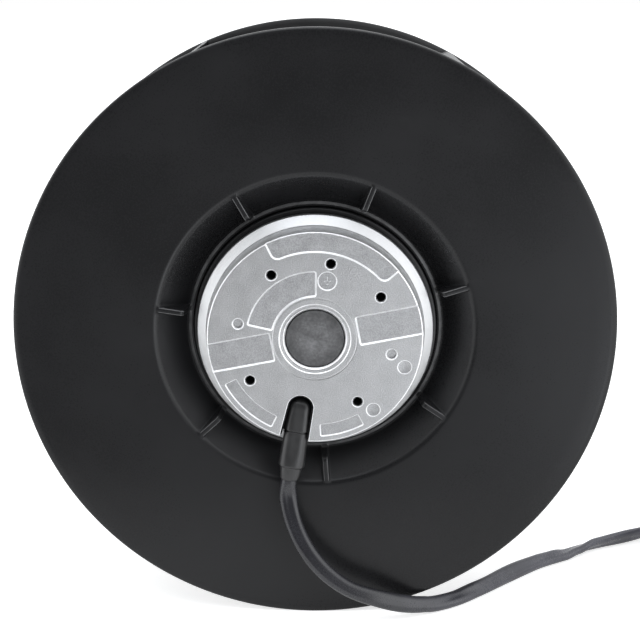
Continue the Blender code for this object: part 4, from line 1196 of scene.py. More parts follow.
    def blade_grid(self, chord_count: int = 40, span_count: int = 18) -> Array:
        """One blade: a closed section round its chord, carried from the disc to the ring.

        Half the section's thickness is a wall that rounds off at both edges and flares
        into a root fillet near the disc and the ring. Each point takes its depth from
        its own radius, between the disc's air side and the ring's.

        Args:
            chord_count: Steps along the chord.
            span_count: Steps from the disc to the ring.

        Returns:
            Points by place on the span and place around the section.
        """
        counts = (span_count, chord_count)
        span, chord = (0.5 - 0.5 * np.cos(np.linspace(0, math.pi, n + 1)) for n in counts)
        span = span[:, None]
        start = self.root_radius + (self.eye_radius + self.eye_set_back - self.root_radius) * span
        length = self.radius - self.edge_inset - start
        radius = start + length * chord
        middle = self.camber(radius)
        ahead = unit(self.camber(radius + 0.1) - self.camber(radius - 0.1))
        normal = np.stack((-ahead[..., 1], ahead[..., 0]), axis=-1)
        round_off = quarter_arc(np.minimum(chord, 1 - chord) * length / (self.blade_wall * 0.6))
        from_root = np.minimum(span, 1 - span) * self.outlet * (0.55 + 0.45 * span)
        flare = self.root_fillet * (1 - quarter_arc(from_root / self.root_fillet))
        half = normal * ((self.blade_wall / 2 + flare) * round_off)[..., None]
        loop = np.concatenate((middle + half, (middle - half)[:, -2:0:-1]), axis=1)
        loop *= np.minimum(1, (self.radius - 0.1) / np.linalg.norm(loop, axis=-1))[..., None]
        own = np.linalg.norm(loop, axis=-1)
        low, high = (
            np.interp(own, *path[np.argsort(path[:, 0])].T)
            for path in (self.air_side()[1:-1], self.ring_path(60))
        )
        return lifted(loop, low - self.sunk + (high - low + 2 * self.sunk) * span)

    def make_blades(self) -> None:
        """Makes the blades, one piece each, a seventh of a turn apart."""
        grid = self.blade_grid()
        for k in range(self.blades):
            flat = turned_outline(grid[..., ::2], self.pitch * k)
            mesh = Shape(f"moulded_blade_{k + 1}").add(lifted(flat, grid[..., 1])).mesh()
            place_piece(mesh, self.finish, Body.ROTOR, [f"blade_{k + 1}"], sharp=60)

    def build(self) -> None:
        """Builds the whole wheel."""
        self.back_disc()
        self.front_ring()
        self.make_blades()


# Motor


class CastFace(IntEnum):
    """The kinds of face on the flange, numbered as its finishes are."""

    AS_CAST = 0
    THREAD = 1
    EDGE = 2
    CHAMFER = 3
    RECESS_SHADE = 4


@dataclass
class Flange:
    """The die-cast stator flange, its cable slot and the cap in its bore. Sizes in millimetres."""

    face_radius: float = 40.0
    wall_foot: float = 40.8
    wall_depth: float = 9.6
    radius: float = 44.4
    chamfer: float = 2.5
    depth: float = 15.0
    tube_end: float = 52.6
    tube_steps: tuple[float, float] = (11.8, 43.8)
    bore: float = 11.0
    bore_chamfer: float = 0.8
    seat_radius: float = 13.35
    seat_depth: float = 0.35
    rings: tuple[float, float] = (12.3, 15.5)
    bolt_circle: float = 28.9
    bolt_angle: float = 33.4
    bolt_step: float = 45.0
    deep_holes: tuple[int, ...] = (0, 1, 2, 4, 6)
    blind_holes: tuple[int, ...] = (3, 7)
    hole_radius: float = 1.65
    hole_depth: float = 10.0
    blind_depth: float = 1.0
    hole_flare: float = 0.5
    flare_depth: float = 0.55
    edge_radius: float = 0.55
    pocket_depth: float = 0.7
    pocket_fillet: float = 0.3
    wall_slope: float = 0.62
    side_pocket_angle: float = 10.8
    side_pocket_width: float = 10.1
    pocket_start: float = 16.5
    arc_pocket: tuple[float, float, float, float] = (16.5, 25.1, 90.0, 167.0)
    top_pocket_radius: float = 33.1
    top_pocket_half_angle: float = 37.9
    top_pocket_fillet: float = 2.2
    panel_radii: tuple[float, float] = (33.3, 37.5)
    panel_angles: tuple[tuple[float, float], ...] = ((208.0, 244.0), (273.6, 298.4))
    panel_depth: float = 0.5
    pad_circle: float = 22.4
    pad_radius: float = 3.2
    pad_depth: float = 0.5
    earth_bars: tuple[Point, ...] = (
        (0.16, 0.0, 1.5), (1.3, -0.16, 0.16), (0.85, -0.75, -0.49), (0.42, -1.28, -1.02)
    )
    dimple_circle: float = 34.9
    dimple_radius: float = 2.4
    dimple_depth: float = 0.55
    dimple_dip: float = 0.12
    dimple_angles: tuple[float, ...] = (-17.9, -51.5)
    slot_start: float = 27.2
    slot_half_width: float = 4.85
    slot_flare: float = 3.0
    slot_depth: float = 8.8
    cap_front: float = 0.45
    cap_crown: float = 0.2
    cap_wall: float = 2.6
    finish: Finish = CASTING

    def bolt(self, step: float) -> Array:
        """A point of the bolt circle, a number of steps on from the first hole."""
        return polar(self.bolt_circle, self.bolt_angle + self.bolt_step * step)

    def blank(self) -> Mesh:
        """The turned casting before anything is cut: face, wall, chamfer and bearing tube.

        Returns:
            The mesh.
        """
        tube, shoulder, bore, seat = self.bore + 3.5, self.bore - 1.5, self.bore, self.seat_depth
        inner, outer = self.rings
        near, far = self.tube_steps
        profile = filleted(
            [
                (bore + self.bore_chamfer, seat, 0.3),
                (inner - 0.25, seat, 0.1),
                (inner, seat + 0.2, 0.05),
                (inner + 0.25, seat, 0.1),
                (self.seat_radius - 0.35, seat, 0.1),
                (self.seat_radius, 0.0, 0.3),
                (outer - 0.3, 0.0, 0.1),
                (outer, 0.1, 0.1),
                (outer + 0.3, 0.0, 0.1),
                (self.face_radius, 0.0, 0.75),
                (self.wall_foot, self.wall_depth, 0.8),
                (self.radius, self.wall_depth + self.chamfer, 0.7),
                (self.radius, self.depth, 0.4),
                (tube + 5, self.depth, 2.0),
                (tube, self.depth + 3, 2.0),
                (tube, self.tube_end, 0.5),
                (bore, self.tube_end, 0.3),
                (bore, far, 0.0),
                (shoulder, far, 0.0),
                (shoulder, near, 0.0),
                (bore, near, 0.0),
                (bore, seat + self.bore_chamfer, 0.2),
            ]
        )
        return Shape("cast_flange").add(turned(profile, 200), wrap_rows=True).mesh()

    def slot_outline(self, inset: float = 0.0) -> Array:
        """The cable slot: a round inner end, and sides that flare towards the rim.

        Args:
            inset: How far its sides are moved inwards.

        Returns:
            Points (x, z).
        """
        length, half = self.radius + 1 - self.slot_start, self.slot_half_width - inset
        wide = half + length * math.tan(math.radians(self.slot_flare))
        end = polar(half, np.linspace(90, 270, 25))
        outline = np.vstack((end, (length, -wide), (length, wide))) + (self.slot_start, 0.0)
        outline = refined(outline, 2.0, closed=True)
        return turned_outline(outline, self.bolt_angle + 5 * self.bolt_step)

    def round_tool(self, name: str, at: Array, profile: Array, facets: int = 48) -> Shape:
        """A turned cutter, centred on a point of the face."""
        return Shape(name).add(turned(profile, facets) + lifted(at, 0.0))

    def hole(self, name: str, at: Array, depth: float) -> Shape:
        """A round hole with a flared mouth.

        Args:
            name: The cutter's name.
            at: Its middle (x, z).
            depth: Its depth.

        Returns:
            The cutter.
        """
        flare = self.hole_flare
        mouth = [(1.3 * flare, ABOVE), (1.25 * flare, JUST_ABOVE), (flare, 0.05)]
        profile = np.array((*mouth, (0.0, self.flare_depth), (0.0, depth)))
        return self.round_tool(name, at, profile + (self.hole_radius, 0.0), 40)

    def dimple(self, name: str, at: Array) -> Shape:
        """A cutter that leaves a shallow bowl: part of a sphere under a short cylinder.

        The sphere's radius is (radius squared + dip squared) over twice the dip.

        Args:
            name: The cutter's name.
            at: Its middle (x, z).

        Returns:
            The cutter.
        """
        radius, dip = self.dimple_radius, self.dimple_dip
        sphere = (radius**2 + dip**2) / (2 * dip)
        reach = radius * np.linspace(1, 0.02, 8)
        bottom = self.dimple_depth + np.sqrt(sphere**2 - reach**2) - sphere
        lip = rounded_lip(0.7 * self.edge_radius) + (radius, 0.0)
        return self.round_tool(name, at, np.vstack((lip, np.column_stack((reach, bottom)))))

    def recesses(self) -> list[Shape]:
        """Cutters for the pockets, panels, pad, dimples, holes and the cable slot.

        Returns:
            The cutters.
        """
        out, half, fillet = self.radius + 1, self.side_pocket_width / 2, self.pocket_fillet
        middle, spread = self.bolt_angle + self.bolt_step, self.top_pocket_half_angle
        top = (self.top_pocket_radius, out, middle - spread, middle + spread)
        side = rounded_box((self.pocket_start, -half), (out, half), fillet, step=20)
        side = refined(side, 2.0, closed=True)
        pockets = {
            "side_pocket_1": turned_outline(side, self.side_pocket_angle),
            "side_pocket_2": turned_outline(side, self.side_pocket_angle + 180),
            "arc_pocket": ring_sector(*self.arc_pocket, fillet),
            "top_pocket": ring_sector(*top, self.top_pocket_fillet),
        }
        lip = sloped_lip(self.wall_slope, self.pocket_depth)
        fine_lip = sloped_lip(0.8 * self.edge_radius, self.panel_depth)
        pad = polar(self.pad_radius, np.arange(48) * 7.5) + polar(self.pad_circle, middle)
        tools = [recess(name, outline, self.pocket_depth, lip) for name, outline in pockets.items()]
        slot_lip = rounded_lip(0.55 * self.edge_radius)
        tools.append(recess("slot", self.slot_outline(), self.slot_depth, slot_lip))
        tools.append(recess("pad", pad, self.pad_depth, fine_lip))
        for k, angles in enumerate(self.panel_angles):
            outline = ring_sector(*self.panel_radii, *angles, fillet)
            tools.append(recess(f"panel_{k + 1}", outline, self.panel_depth, fine_lip))
        for k, angle in enumerate(self.dimple_angles):
            tools.append(self.dimple(f"dimple_{k + 1}", polar(self.dimple_circle, angle)))
        for step in sorted(self.deep_holes + self.blind_holes):
            depth = self.blind_depth if step in self.blind_holes else self.hole_depth
            tools.append(self.hole(f"hole_{step}", self.bolt(step), depth))
        return tools

    def casting(self) -> None:
        """Makes the flange with everything cut and its edges softened."""
        mesh = cut(self.blank(), self.recesses())
        piece = place_piece(mesh, self.finish, Body.STATOR, ["motor_flange"])
        # Painted highlight on the sloping edges, painted shade on the recess floors and the deep
        # holes' walls.
        add_finishes(mesh, [HOLE_SHADE_FINISH, EDGE_HIGHLIGHT_METAL, MACHINED, SHADED_RECESS_CAST], self.finished_as(mesh))
        soften_edges(piece, self.edge_radius, level=self.pocket_depth)
        # The rounded edges take the near-white metal: painted highlight.
        piece.modifiers["edges"].material = CastFace.EDGE

    def finished_as(self, mesh: Mesh) -> Array:
        """The number of each face's finish on the flange.

        Sloping faces near the mounting face are edges with a painted highlight, the sloping
        faces below them are the machined chamfer, level faces under the mounting face are
        recess floors with painted shade, and the walls of the deep holes have painted shade.

        Args:
            mesh: The flange's mesh.

        Returns:
            The numbers.
        """
        x, deep, z = face_vectors(mesh, "center").T / MM
        slope, radius = -face_vectors(mesh, "normal")[:, 1], np.hypot(x, z)
        on_face = (radius < self.face_radius + 0.3) & (radius > self.bore - 0.1)
        low = deep >= self.wall_depth - 1
        number = np.full(len(deep), CastFace.AS_CAST)
        # Level floors under the face: painted shade.
        number[on_face & (slope > 0.97) & (deep > 0.4) & (deep < 3)] = CastFace.RECESS_SHADE
        number[(slope > 0.06) & (slope < 0.985) & ~low] = CastFace.EDGE
        for ring in self.rings:
            number[np.abs(radius - ring) < 0.32] = CastFace.AS_CAST
        number[(slope > 0.2) & low & (deep < self.depth)] = CastFace.CHAMFER
        # The deep holes' walls: painted shade.
        for step in self.deep_holes:
            x0, z0 = self.bolt(step)
            inside = np.hypot(x - x0, z - z0) < self.hole_radius * 1.01
            number[inside & (deep > 0.9)] = CastFace.THREAD
        return number

    def earth_mark(self) -> None:
        """Makes a plain earth sign on its pad: a stem over three bars that grow shorter."""
        middle = polar(self.pad_circle, self.bolt_angle + self.bolt_step)
        depths = self.pad_depth + np.array(((-0.38,), (0.05,)))
        shape = Shape("earth_mark")
        for half, bottom, top in self.earth_bars:
            shape.add(lifted(rounded_box((-half, bottom), (half, top), 0.0) + middle, depths))
        # The raised bars take the near-white metal: painted highlight.
        place_piece(shape.mesh(), EDGE_HIGHLIGHT_METAL, Body.STATOR)

    def shade_lining(self) -> None:
        """Makes the near-black lining of the cable slot, a floor and thin walls: painted shade in
        the slot.
        """
        outline = self.slot_outline(0.05)
        reach = np.linalg.norm(outline, axis=1, keepdims=True)
        outline *= np.minimum(1, (self.face_radius - 0.7) / reach)
        outer = prism("slot_shade_lining", outline, 0.9, self.slot_depth - 0.05)
        inner = prism("hollow", self.slot_outline(0.6), ABOVE, self.slot_depth - 0.9)
        # Near-black matt rubber fills the slot: painted shade.
        place_piece(cut(outer.mesh(), [inner]), SLOT_SHADE_RUBBER, Body.STATOR)

    def cap(self) -> None:
        """Makes the cap in the bearing bore, slightly crowned, with a rounded rim."""
        radius, crown, front = self.bore - 0.3, self.cap_crown, self.cap_front
        level, top, back = radius - 0.6, front + crown, front + self.cap_wall
        share = np.linspace(0, 1, 10)[1:]
        face = np.column_stack((share * level, front + crown * share**2))
        corners = [(level, top, 0.0), (radius, top, 0.4), (radius, back, 0.0), (1.0, back, 0.0)]
        profile = np.vstack((face, filleted(corners, closed=False)[1:]))
        mesh = Shape("bore_cap").add(turned(profile, 96)).mesh()
        place_piece(mesh, CAP_RUBBER, Body.STATOR, ["bearing_cap"])

    def build(self) -> None:
        """Builds the flange, its earth sign, the painted shade in its slot, and its cap."""
        self.casting()
        self.earth_mark()
        self.shade_lining()
        self.cap()


@dataclass
class RotorCan:
    """The deep-drawn can and the screws that hold the wheel on it. Sizes in millimetres."""

    radius: float = 46.0
    wall: float = 3.0
    start: float = 17.0
    shoulder: float = 54.2
    boss: float = 38.0
    end: float = 64.0
    hub: float = 9.0
    hub_depth: float = 6.0
    bore: float = 4.3
    screw_circle: float = 42.3
    screws: int = 4
    screw_seat: float = 57.5
    screw_end: float = 50.6
    shank: float = 1.9
    head: float = 3.4
    head_height: float = 2.3
    drive: float = 1.4
    lobe: float = 0.2
    finish: Finish = PAINTED_CAN

    def can(self) -> None:
        """Makes the can, a turned shell with drawn radii."""
        outside = (self.radius, self.boss, self.shoulder)
        inner, boss_inner, ledge = (size - self.wall for size in outside)
        floor, sunk = self.end - self.wall, self.end - 0.7
        profile = filleted(
            [
                (inner, self.start, 0.4),
                (self.radius, self.start, 0.8),
                (self.radius, self.shoulder, 1.4),
                (self.boss, self.shoulder, 0.8),
                (self.boss, self.end, 4.5),
                (self.hub + 2, self.end, 0.8),
                (self.hub + 1, sunk, 0.6),
                (self.bore, sunk, 0.3),
                (self.bore, floor - self.hub_depth, 0.2),
                (self.hub, floor - self.hub_depth, 0.3),
                (self.hub, floor, 1.0),
                (boss_inner, floor, 2.0),
                (boss_inner, ledge, 0.5),
                (inner, ledge, 1.0),
            ]
        )
        mesh = Shape("drawn_can").add(turned(profile, 160), wrap_rows=True).mesh()
        place_piece(mesh, self.finish, Body.ROTOR, ["rotor_can"])

    def screw(self, k: int, facets: int = 48) -> None:
        """Makes one pan-head screw with a six-lobed drive.

        The drive's radius is a mean radius plus a share of the cosine of six times the
        angle around the screw.

        Args:
            k: The screw's number, from 0.
            facets: Columns around it.
        """
        top = self.screw_seat + self.head_height
        corners = [
            (0.4, self.screw_end, 0.0),
            (self.shank, self.screw_end, 0.4),
            (self.shank, self.screw_seat, 0.0),
            (self.head, self.screw_seat, 0.2),
            (self.head, top, 1.1),
            (1.75, top, 0.0),
        ]
        degrees = np.arange(facets) * 360 / facets
        lobes = self.drive + self.lobe * np.cos(np.radians(6 * degrees))
        rows = np.array(((1.0, top), (1.0, top - 1.3), (0.3, top - 1.5)))
        drive = lifted(polar(lobes * rows[:, :1], degrees), rows[:, 1:])
        at = lifted(polar(self.screw_circle, 45 + 360 * k / self.screws), 0.0)
        grid = np.concatenate((turned(filleted(corners, closed=False), facets), drive)) + at
        mesh = Shape(f"hub_screw_fine_{k + 1}").add(grid).mesh()
        place_piece(mesh, ZINC, Body.ROTOR, [f"hub_screw_{k + 1}"], sharp=35)

    def build(self) -> None:
        """Builds the can and its screws."""
        self.can()
        for k in range(self.screws):
            self.screw(k)


@dataclass
class Inside:
    """The CAD nodes inside the motor, which keep their solids.

    Attributes:
        nodes: The frame's objects by name.
    """

    nodes: dict[str, Piece]
    finishes: tuple[tuple[Finish, tuple[str, ...]], ...] = (
        (SHEET_STACK, ("stator_core", "rotor_core")),
        (END_PLATE, ("insulator_rear", "insulator_front")),
        (WIRE, ("winding_rear", "winding_front")),
        (CASTING, ("short_ring_rear", "short_ring_front")),
        (RACE_STEEL, ("bearing_outer_rear", "bearing_outer_front", "bearing_inner_rear")),
        (RACE_STEEL, ("bearing_inner_front", "ball_cage_rear", "ball_cage_front")),
        (ZINC, ("rotor_shaft", "shaft_circlip", "wave_washer")),
    )

    def build(self) -> None:
        """Gives each node its own finish."""
        for finish, names in self.finishes:
            for name in names:
                mesh = self.nodes[name].data
                mesh.materials.clear()
                mesh.materials.append(finish.material())
                LOG.info("%s keeps its solid, finished as %s", name, finish.slot.value)


# Lead


@dataclass
class Grommet:
    """The tapered strain relief in the cable slot. Sizes in millimetres."""

    slot_angle: float = 258.4
    lean: float = 3.1
    tilt: float = 0.05
    axis_depth: float = 4.9
    flattening: float = 0.8
    squareness: float = 0.78
    root: float = 27.2
    dome: float = 24.4
    dome_height: float = 4.2
    step: float = 37.6
    collar: float = 51.4
    end: float = 57.0
    neck_radius: float = 4.5
    neck_flare: float = 0.45
    body_radius: float = 4.7
    body_flare: float = 0.2
    tail_radius: float = 4.0
    furrow: float = 0.08
    furrow_width: float = 0.42
    columns: int = 80

    def frame(self) -> tuple[Array, Array, Array, Array]:
        """The grommet's own frame.

        Returns:
            Its origin, and its directions across, towards the face, and outwards.
        """
        along = unit(lifted(polar(1.0, self.slot_angle + self.lean), -self.tilt))
        across = unit(np.cross((0.0, 1.0, 0.0), along))
        origin = lifted(polar(self.root, self.slot_angle), self.axis_depth)
        return origin, across, np.cross(along, across), along

    def tip(self) -> tuple[Array, Array]:
        """Where the lead leaves the grommet, and in which direction."""
        origin, _, _, along = self.frame()
        return origin + along * (self.end - self.root), along

    def profile(self) -> Array:
        """The grommet's dome, neck, step, taper, collar and tail.

        Returns:
            Rows of radius and distance from the fan's axis.
        """
        turn = np.linspace(0.04, math.pi / 2, 9)
        rise = self.dome + self.dome_height * (1 - np.cos(turn))
        body, tail, neck = self.body_radius, self.tail_radius, self.neck_radius + self.neck_flare
        rest = filleted(
            [
                (self.neck_radius, self.dome + 5.0, 0.0),
                (neck, self.step - 1.2, 0.8),
                (neck, self.step - 0.5, 0.2),
                (body - 0.45, self.step - 0.3, 0.1),
                (body - 0.45, self.step, 0.1),
                (body, self.step + 0.3, 0.35),
                (body + self.body_flare, self.collar - 0.4, 0.6),
                (body + self.body_flare - 0.1, self.collar, 0.25),
                (tail + 0.1, self.collar + 0.5, 0.15),
                (tail - 0.1, self.collar + 2.4, 2.0),
                (tail - 0.5, self.end - 0.5, 0.4),
                (tail - 1.0, self.end, 0.2),
                (1.0, self.end, 0.0),
            ],
            closed=False,
        )
        dome = np.column_stack((self.neck_radius * np.sin(turn), rise))
        return np.vstack((dome, refined(rest, 1.5)))

    def build(self) -> None:
        """Builds the grommet on one grid: flattened rings with a furrow down each flat side.

        The furrow takes a share off the radius that falls away as a bell curve of the
        sine of the angle from the flat side's middle, and fades out at the collar.
        Each ring is a squared oval: the sine and the cosine of the angle are raised to
        a power under one.
        """
        origin, across, depth, along = self.frame()
        radius, reach = (column[:, None] for column in self.profile().T)
        cosine, sine = polar(1.0, np.arange(self.columns) * 360 / self.columns).T
        bell = np.exp(-((sine / self.furrow_width) ** 2))
        radius = radius * (1 - self.furrow * bell * np.clip((self.collar - reach) / 6, 0.25, 1))
        power, parts = self.squareness, (sine, -cosine)
        u, v = (radius * np.sign(part) * np.abs(part) ** power for part in parts)
        places = ((u, across), (v * self.flattening, depth), (reach - self.root, along))
        grid = origin + sum(share[..., None] * direction for share, direction in places)
        mesh = Shape("strain_relief").add(grid).mesh()
        place_piece(mesh, RUBBER, Body.STATOR, ["cable_grommet"], sharp=55)


@dataclass
class Lead:
    """The sleeved lead with its coil, tie and connector. Sizes in millimetres.

    The sleeve's roll in degrees and the dip between its wires are given at lengths
    along the lead.
    """

    grommet: Grommet
    table: float = -112.5
    diameter: float = 5.5
    length: float = 710.0
    route: tuple[Point, ...] = (
        (-9.0, 1.6, -70.3), (-5.0, -1.5, -79.7), (2.2, -3.5, -89.5), (12.2, -4.5, -97.3),
        (24.9, -3.5, -102.4), (39.5, 2.5, -107.6), (51.5, 10.0, -109.5), (64.3, 20.0, -109.7),
        (78.5, 34.1, -109.7), (93.1, 47.4, -109.7), (107.4, 57.7, -109.7), (122.4, 67.0, -109.5),
        (133.2, 72.0, -109.1), (142.5, 76.5, -108.7),
    )
    coil_centre: tuple[float, float] = (177.0, 60.0)
    coil_radius: float = 30.0
    coil_lift: float = 1.2
    coil_turns: float = 2.32
    coil_pitch: float = 5.7
    turn_points: int = 28
    tail_fall: float = 0.22
    connector_height: float = 8.0
    connector_lift: float = 0.4
    connector_gap: float = 15.0
    connector_inset: float = 0.03
    ways: int = 4
    grips: int = 4
    roll_at: Point = (0, 35, 60, 85, 100, 112, 135, 150, 160, 173, 184, 200, 225, 262, 290)
    roll: Point = (0, -6, -10, -10, -38, -10, -15, -20, -45, -90, -125, -140, -100, -120, -180)
    dip_at: Point = (0, 40, 80, 110)
    dips: Point = (0.28, 0.14, 0.14, 0.3)
    upright_at: Point = (250.0, 300.0)
    route_length: float = 270.0
    tie_angle: float = 215.0
    tie_width: float = 4.0
    tie_wall: float = 0.8
    tie_gap: float = 0.3
    tie_corner: float = 1.6
    flat_width: float = 6.5
    flat_height: float = 4.3
    front_limit: float = -7.0

    def centreline(self) -> Array:
        """The lead from the grommet to the connector, on one smooth curve.

        The coil's angle falls and its height rises evenly with each turn, and a
        Catmull-Rom curve joins it to the route's own points.

        Returns:
            Points along the lead.
        """
        tip, outwards = self.grommet.tip()
        half, radius, swing = self.diameter / 2, self.coil_radius, 360 * self.coil_turns
        low = self.table + self.coil_lift + half
        high = low + self.coil_pitch * self.coil_turns
        share = np.linspace(0, 1, round(self.coil_turns * self.turn_points) + 1)
        around = polar(radius, swing * (1 - share)) + self.coil_centre
        coil = np.column_stack((around, low + (high - low) * share))
        run = math.sqrt((radius + half + 0.3) ** 2 - (radius - half) ** 2)
        lead_in = coil[0] - (*polar(run, swing - 90), 0.0)
        middle = self.table + self.connector_lift + self.connector_height / 2
        leave = coil[-1] - (0.0, run, (high - middle) * self.tail_fall)
        stop = np.array((coil[-1, 0], coil[-1, 1] - run - self.connector_gap, middle))
        land = stop + (0.0, half, 0.0)
        start = np.vstack((tip, tip + outwards * half, self.route, lead_in))
        return smooth(np.vstack((start, coil, leave, (leave + stop) / 2, land, stop)), 2.0)

    def facing(self, path: Array) -> Array:
        """The way that the sleeve's flat side looks.

        The flat side is rolled about the path from the viewer's direction, by an angle
        that eases from station to station: the sleeve twists as it leaves the grommet,
        again where it comes down on the surface, and twice on its way to the coil.

        Args:
            path: Points along the lead.

        Returns:
            A direction for each point.
        """
        travelled = along_path(path)
        angle = np.radians(eased(travelled, self.roll_at, self.roll))[:, None]
        upright = eased(travelled, self.upright_at, (0.0, 1.0))[:, None]
        toward = (0.0, -0.967, 0.254) * (1 - upright) + (0.0, 0.0, 1.0) * upright
        along = tangents(path)
        toward = squared(toward, along)
        return np.cos(angle) * toward + np.sin(angle) * np.cross(along, toward)

    def section(self, path: Array, count: int = 32) -> Array:
        """The sleeve's section: an oval that dips between its two wires.

        Near the grommet the oval is still round. A slow wave along the path makes the
        sleeve a little wider and narrower, as a loose one is.

        Args:
            path: Points along the lead.
            count: Points around the section.

        Returns:
            A set of points u, v for each point of the path.
        """
        travelled = along_path(path)[:, None]
        cosine, sine = polar(1.0, np.arange(count) * 360 / count).T
        flat = np.clip(travelled / 6, 0.4, 1)
        wave = (0.035 * np.sin(travelled / 9) + 0.03 * np.sin(travelled / 5.3 + 1)) * flat
        width = (self.diameter + (self.flat_width - self.diameter) * flat) * (1 + wave)
        height = (self.diameter + (self.flat_height - self.diameter) * flat) * (1 - wave)
        dip = 1 - eased(travelled, self.dip_at, self.dips) * flat * np.exp(-((cosine / 0.45) ** 2))
        return np.stack((width / 2 * cosine, height / 2 * sine * dip), axis=-1)

    def settled(self, grid: Array, path: Array) -> Array:
        """The lead's grid let down on the surface, with no section past the front limit.

        Args:
            grid: The sections' points.
            path: Points along the lead.

        Returns:
            The new grid.
        """
        lowest = grid[..., 2].min(axis=1) - (self.table + 0.1)
        share = np.clip((4.2 - (path[:, 2] - self.table)) / 1.2, 0, 1)
        grid = grid.copy()
        grid[..., 2] -= (lowest * share * (along_path(path) < self.route_length))[:, None]
        grid[..., 1] += np.clip(self.front_limit - grid[..., 1].min(axis=1), 0, None)[:, None]
        return grid

    def cord(self, pieces: Sequence[Piece]) -> None:
        """Makes the lead itself, and logs its length.

        Args:
            pieces: What is carried on it. Not used.
        """
        path = self.centreline()
        grid = self.settled(swept(path, self.facing(path), self.section(path)), path)
        mesh = Shape("sleeved_lead").add(grid).mesh()
        solids = ["lead_sleeve", "lead_coil", "lead_tail"]
        lead = place_piece(mesh, SLEEVING, Body.STATOR, solids, sharp=80)
        LOG.info("lead: %.3f m", along_path(path)[-1] * MM)
        tuple(self.grommet.tip()[0] * MM)

    def tie(self) -> Piece:
        """The tie round the coil: a band along a box with rounded corners.

        Returns:
            The piece.
        """
        wall, width = self.tie_wall / 2, self.tie_width / 2
        margin = self.tie_gap + wall
        low, wide = self.table + self.coil_lift, self.diameter / 2 + margin
        high = low + self.diameter + self.coil_pitch * self.coil_turns
        loop = rounded_box((-wide, low - margin), (wide, high + margin), self.tie_corner, step=15)
        cosine, sine = polar(1.0, self.tie_angle)
        outwards, side = np.array(((cosine, sine, 0.0), (-sine, cosine, 0.0)))
        centre = outwards * self.coil_radius + (*self.coil_centre, 0.0)
        ring = centre + loop[:, :1] * outwards + loop[:, 1:] * (0.0, 0.0, 1.0)
        away = unit(ring - ring.mean(axis=0))
        band = rounded_box((-wall, -width), (wall, width), 0.0)
        grid = ring[:, None] + band[:, :1] * away[:, None] + band[:, 1:] * side
        mesh = Shape("tie_band").add(grid, wrap_rows=True).mesh()
        return place_piece(mesh, NYLON, Body.STATOR, ["coil_tie"], sharp=45)

    def connector(self) -> Piece:
        """The four-way connector: a block with its ways and grips.

        Returns:
            The piece.
        """
        low, high = (np.array(corner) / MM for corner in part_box("lead_connector"))
        (x0, y0, z0), (x1, y1, z1) = low + self.connector_inset, high - self.connector_inset
        body = rounded_box((x0, z0), (x1, z1), 0.6, step=20)
        blank = prism("white_connector", body, y0, y1).mesh()
        pitch, middle = (x1 - x0) / (self.ways + 0.4), (z0 + z1) / 2
        tools = []
        for k in range(self.ways):
            x = (x0 + x1) / 2 + (k - (self.ways - 1) / 2) * pitch
            start, end = (x - 1.1, y0 - 1, middle - 1.5), (x + 1.1, y0 + 8, middle + 1.5)
            tools.append(block(f"way_{k}", start, end))
        for k in range(self.grips):
            y = y1 - (y1 - y0) * 0.18 - k * 1.6
            tools.append(block(f"grip_{k}", (x0 - 1, y, z1 - 0.5), (x1 + 1, y + 0.7, z1 + 1)))
        piece = place_piece(cut(blank, tools), NYLON, Body.STATOR, ["lead_connector"])
        soften_edges(piece, 0.15)
        return piece

    def build(self) -> None:
        """Builds the lead and what is on it."""
        self.cord([self.tie(), self.connector()])


# Studio


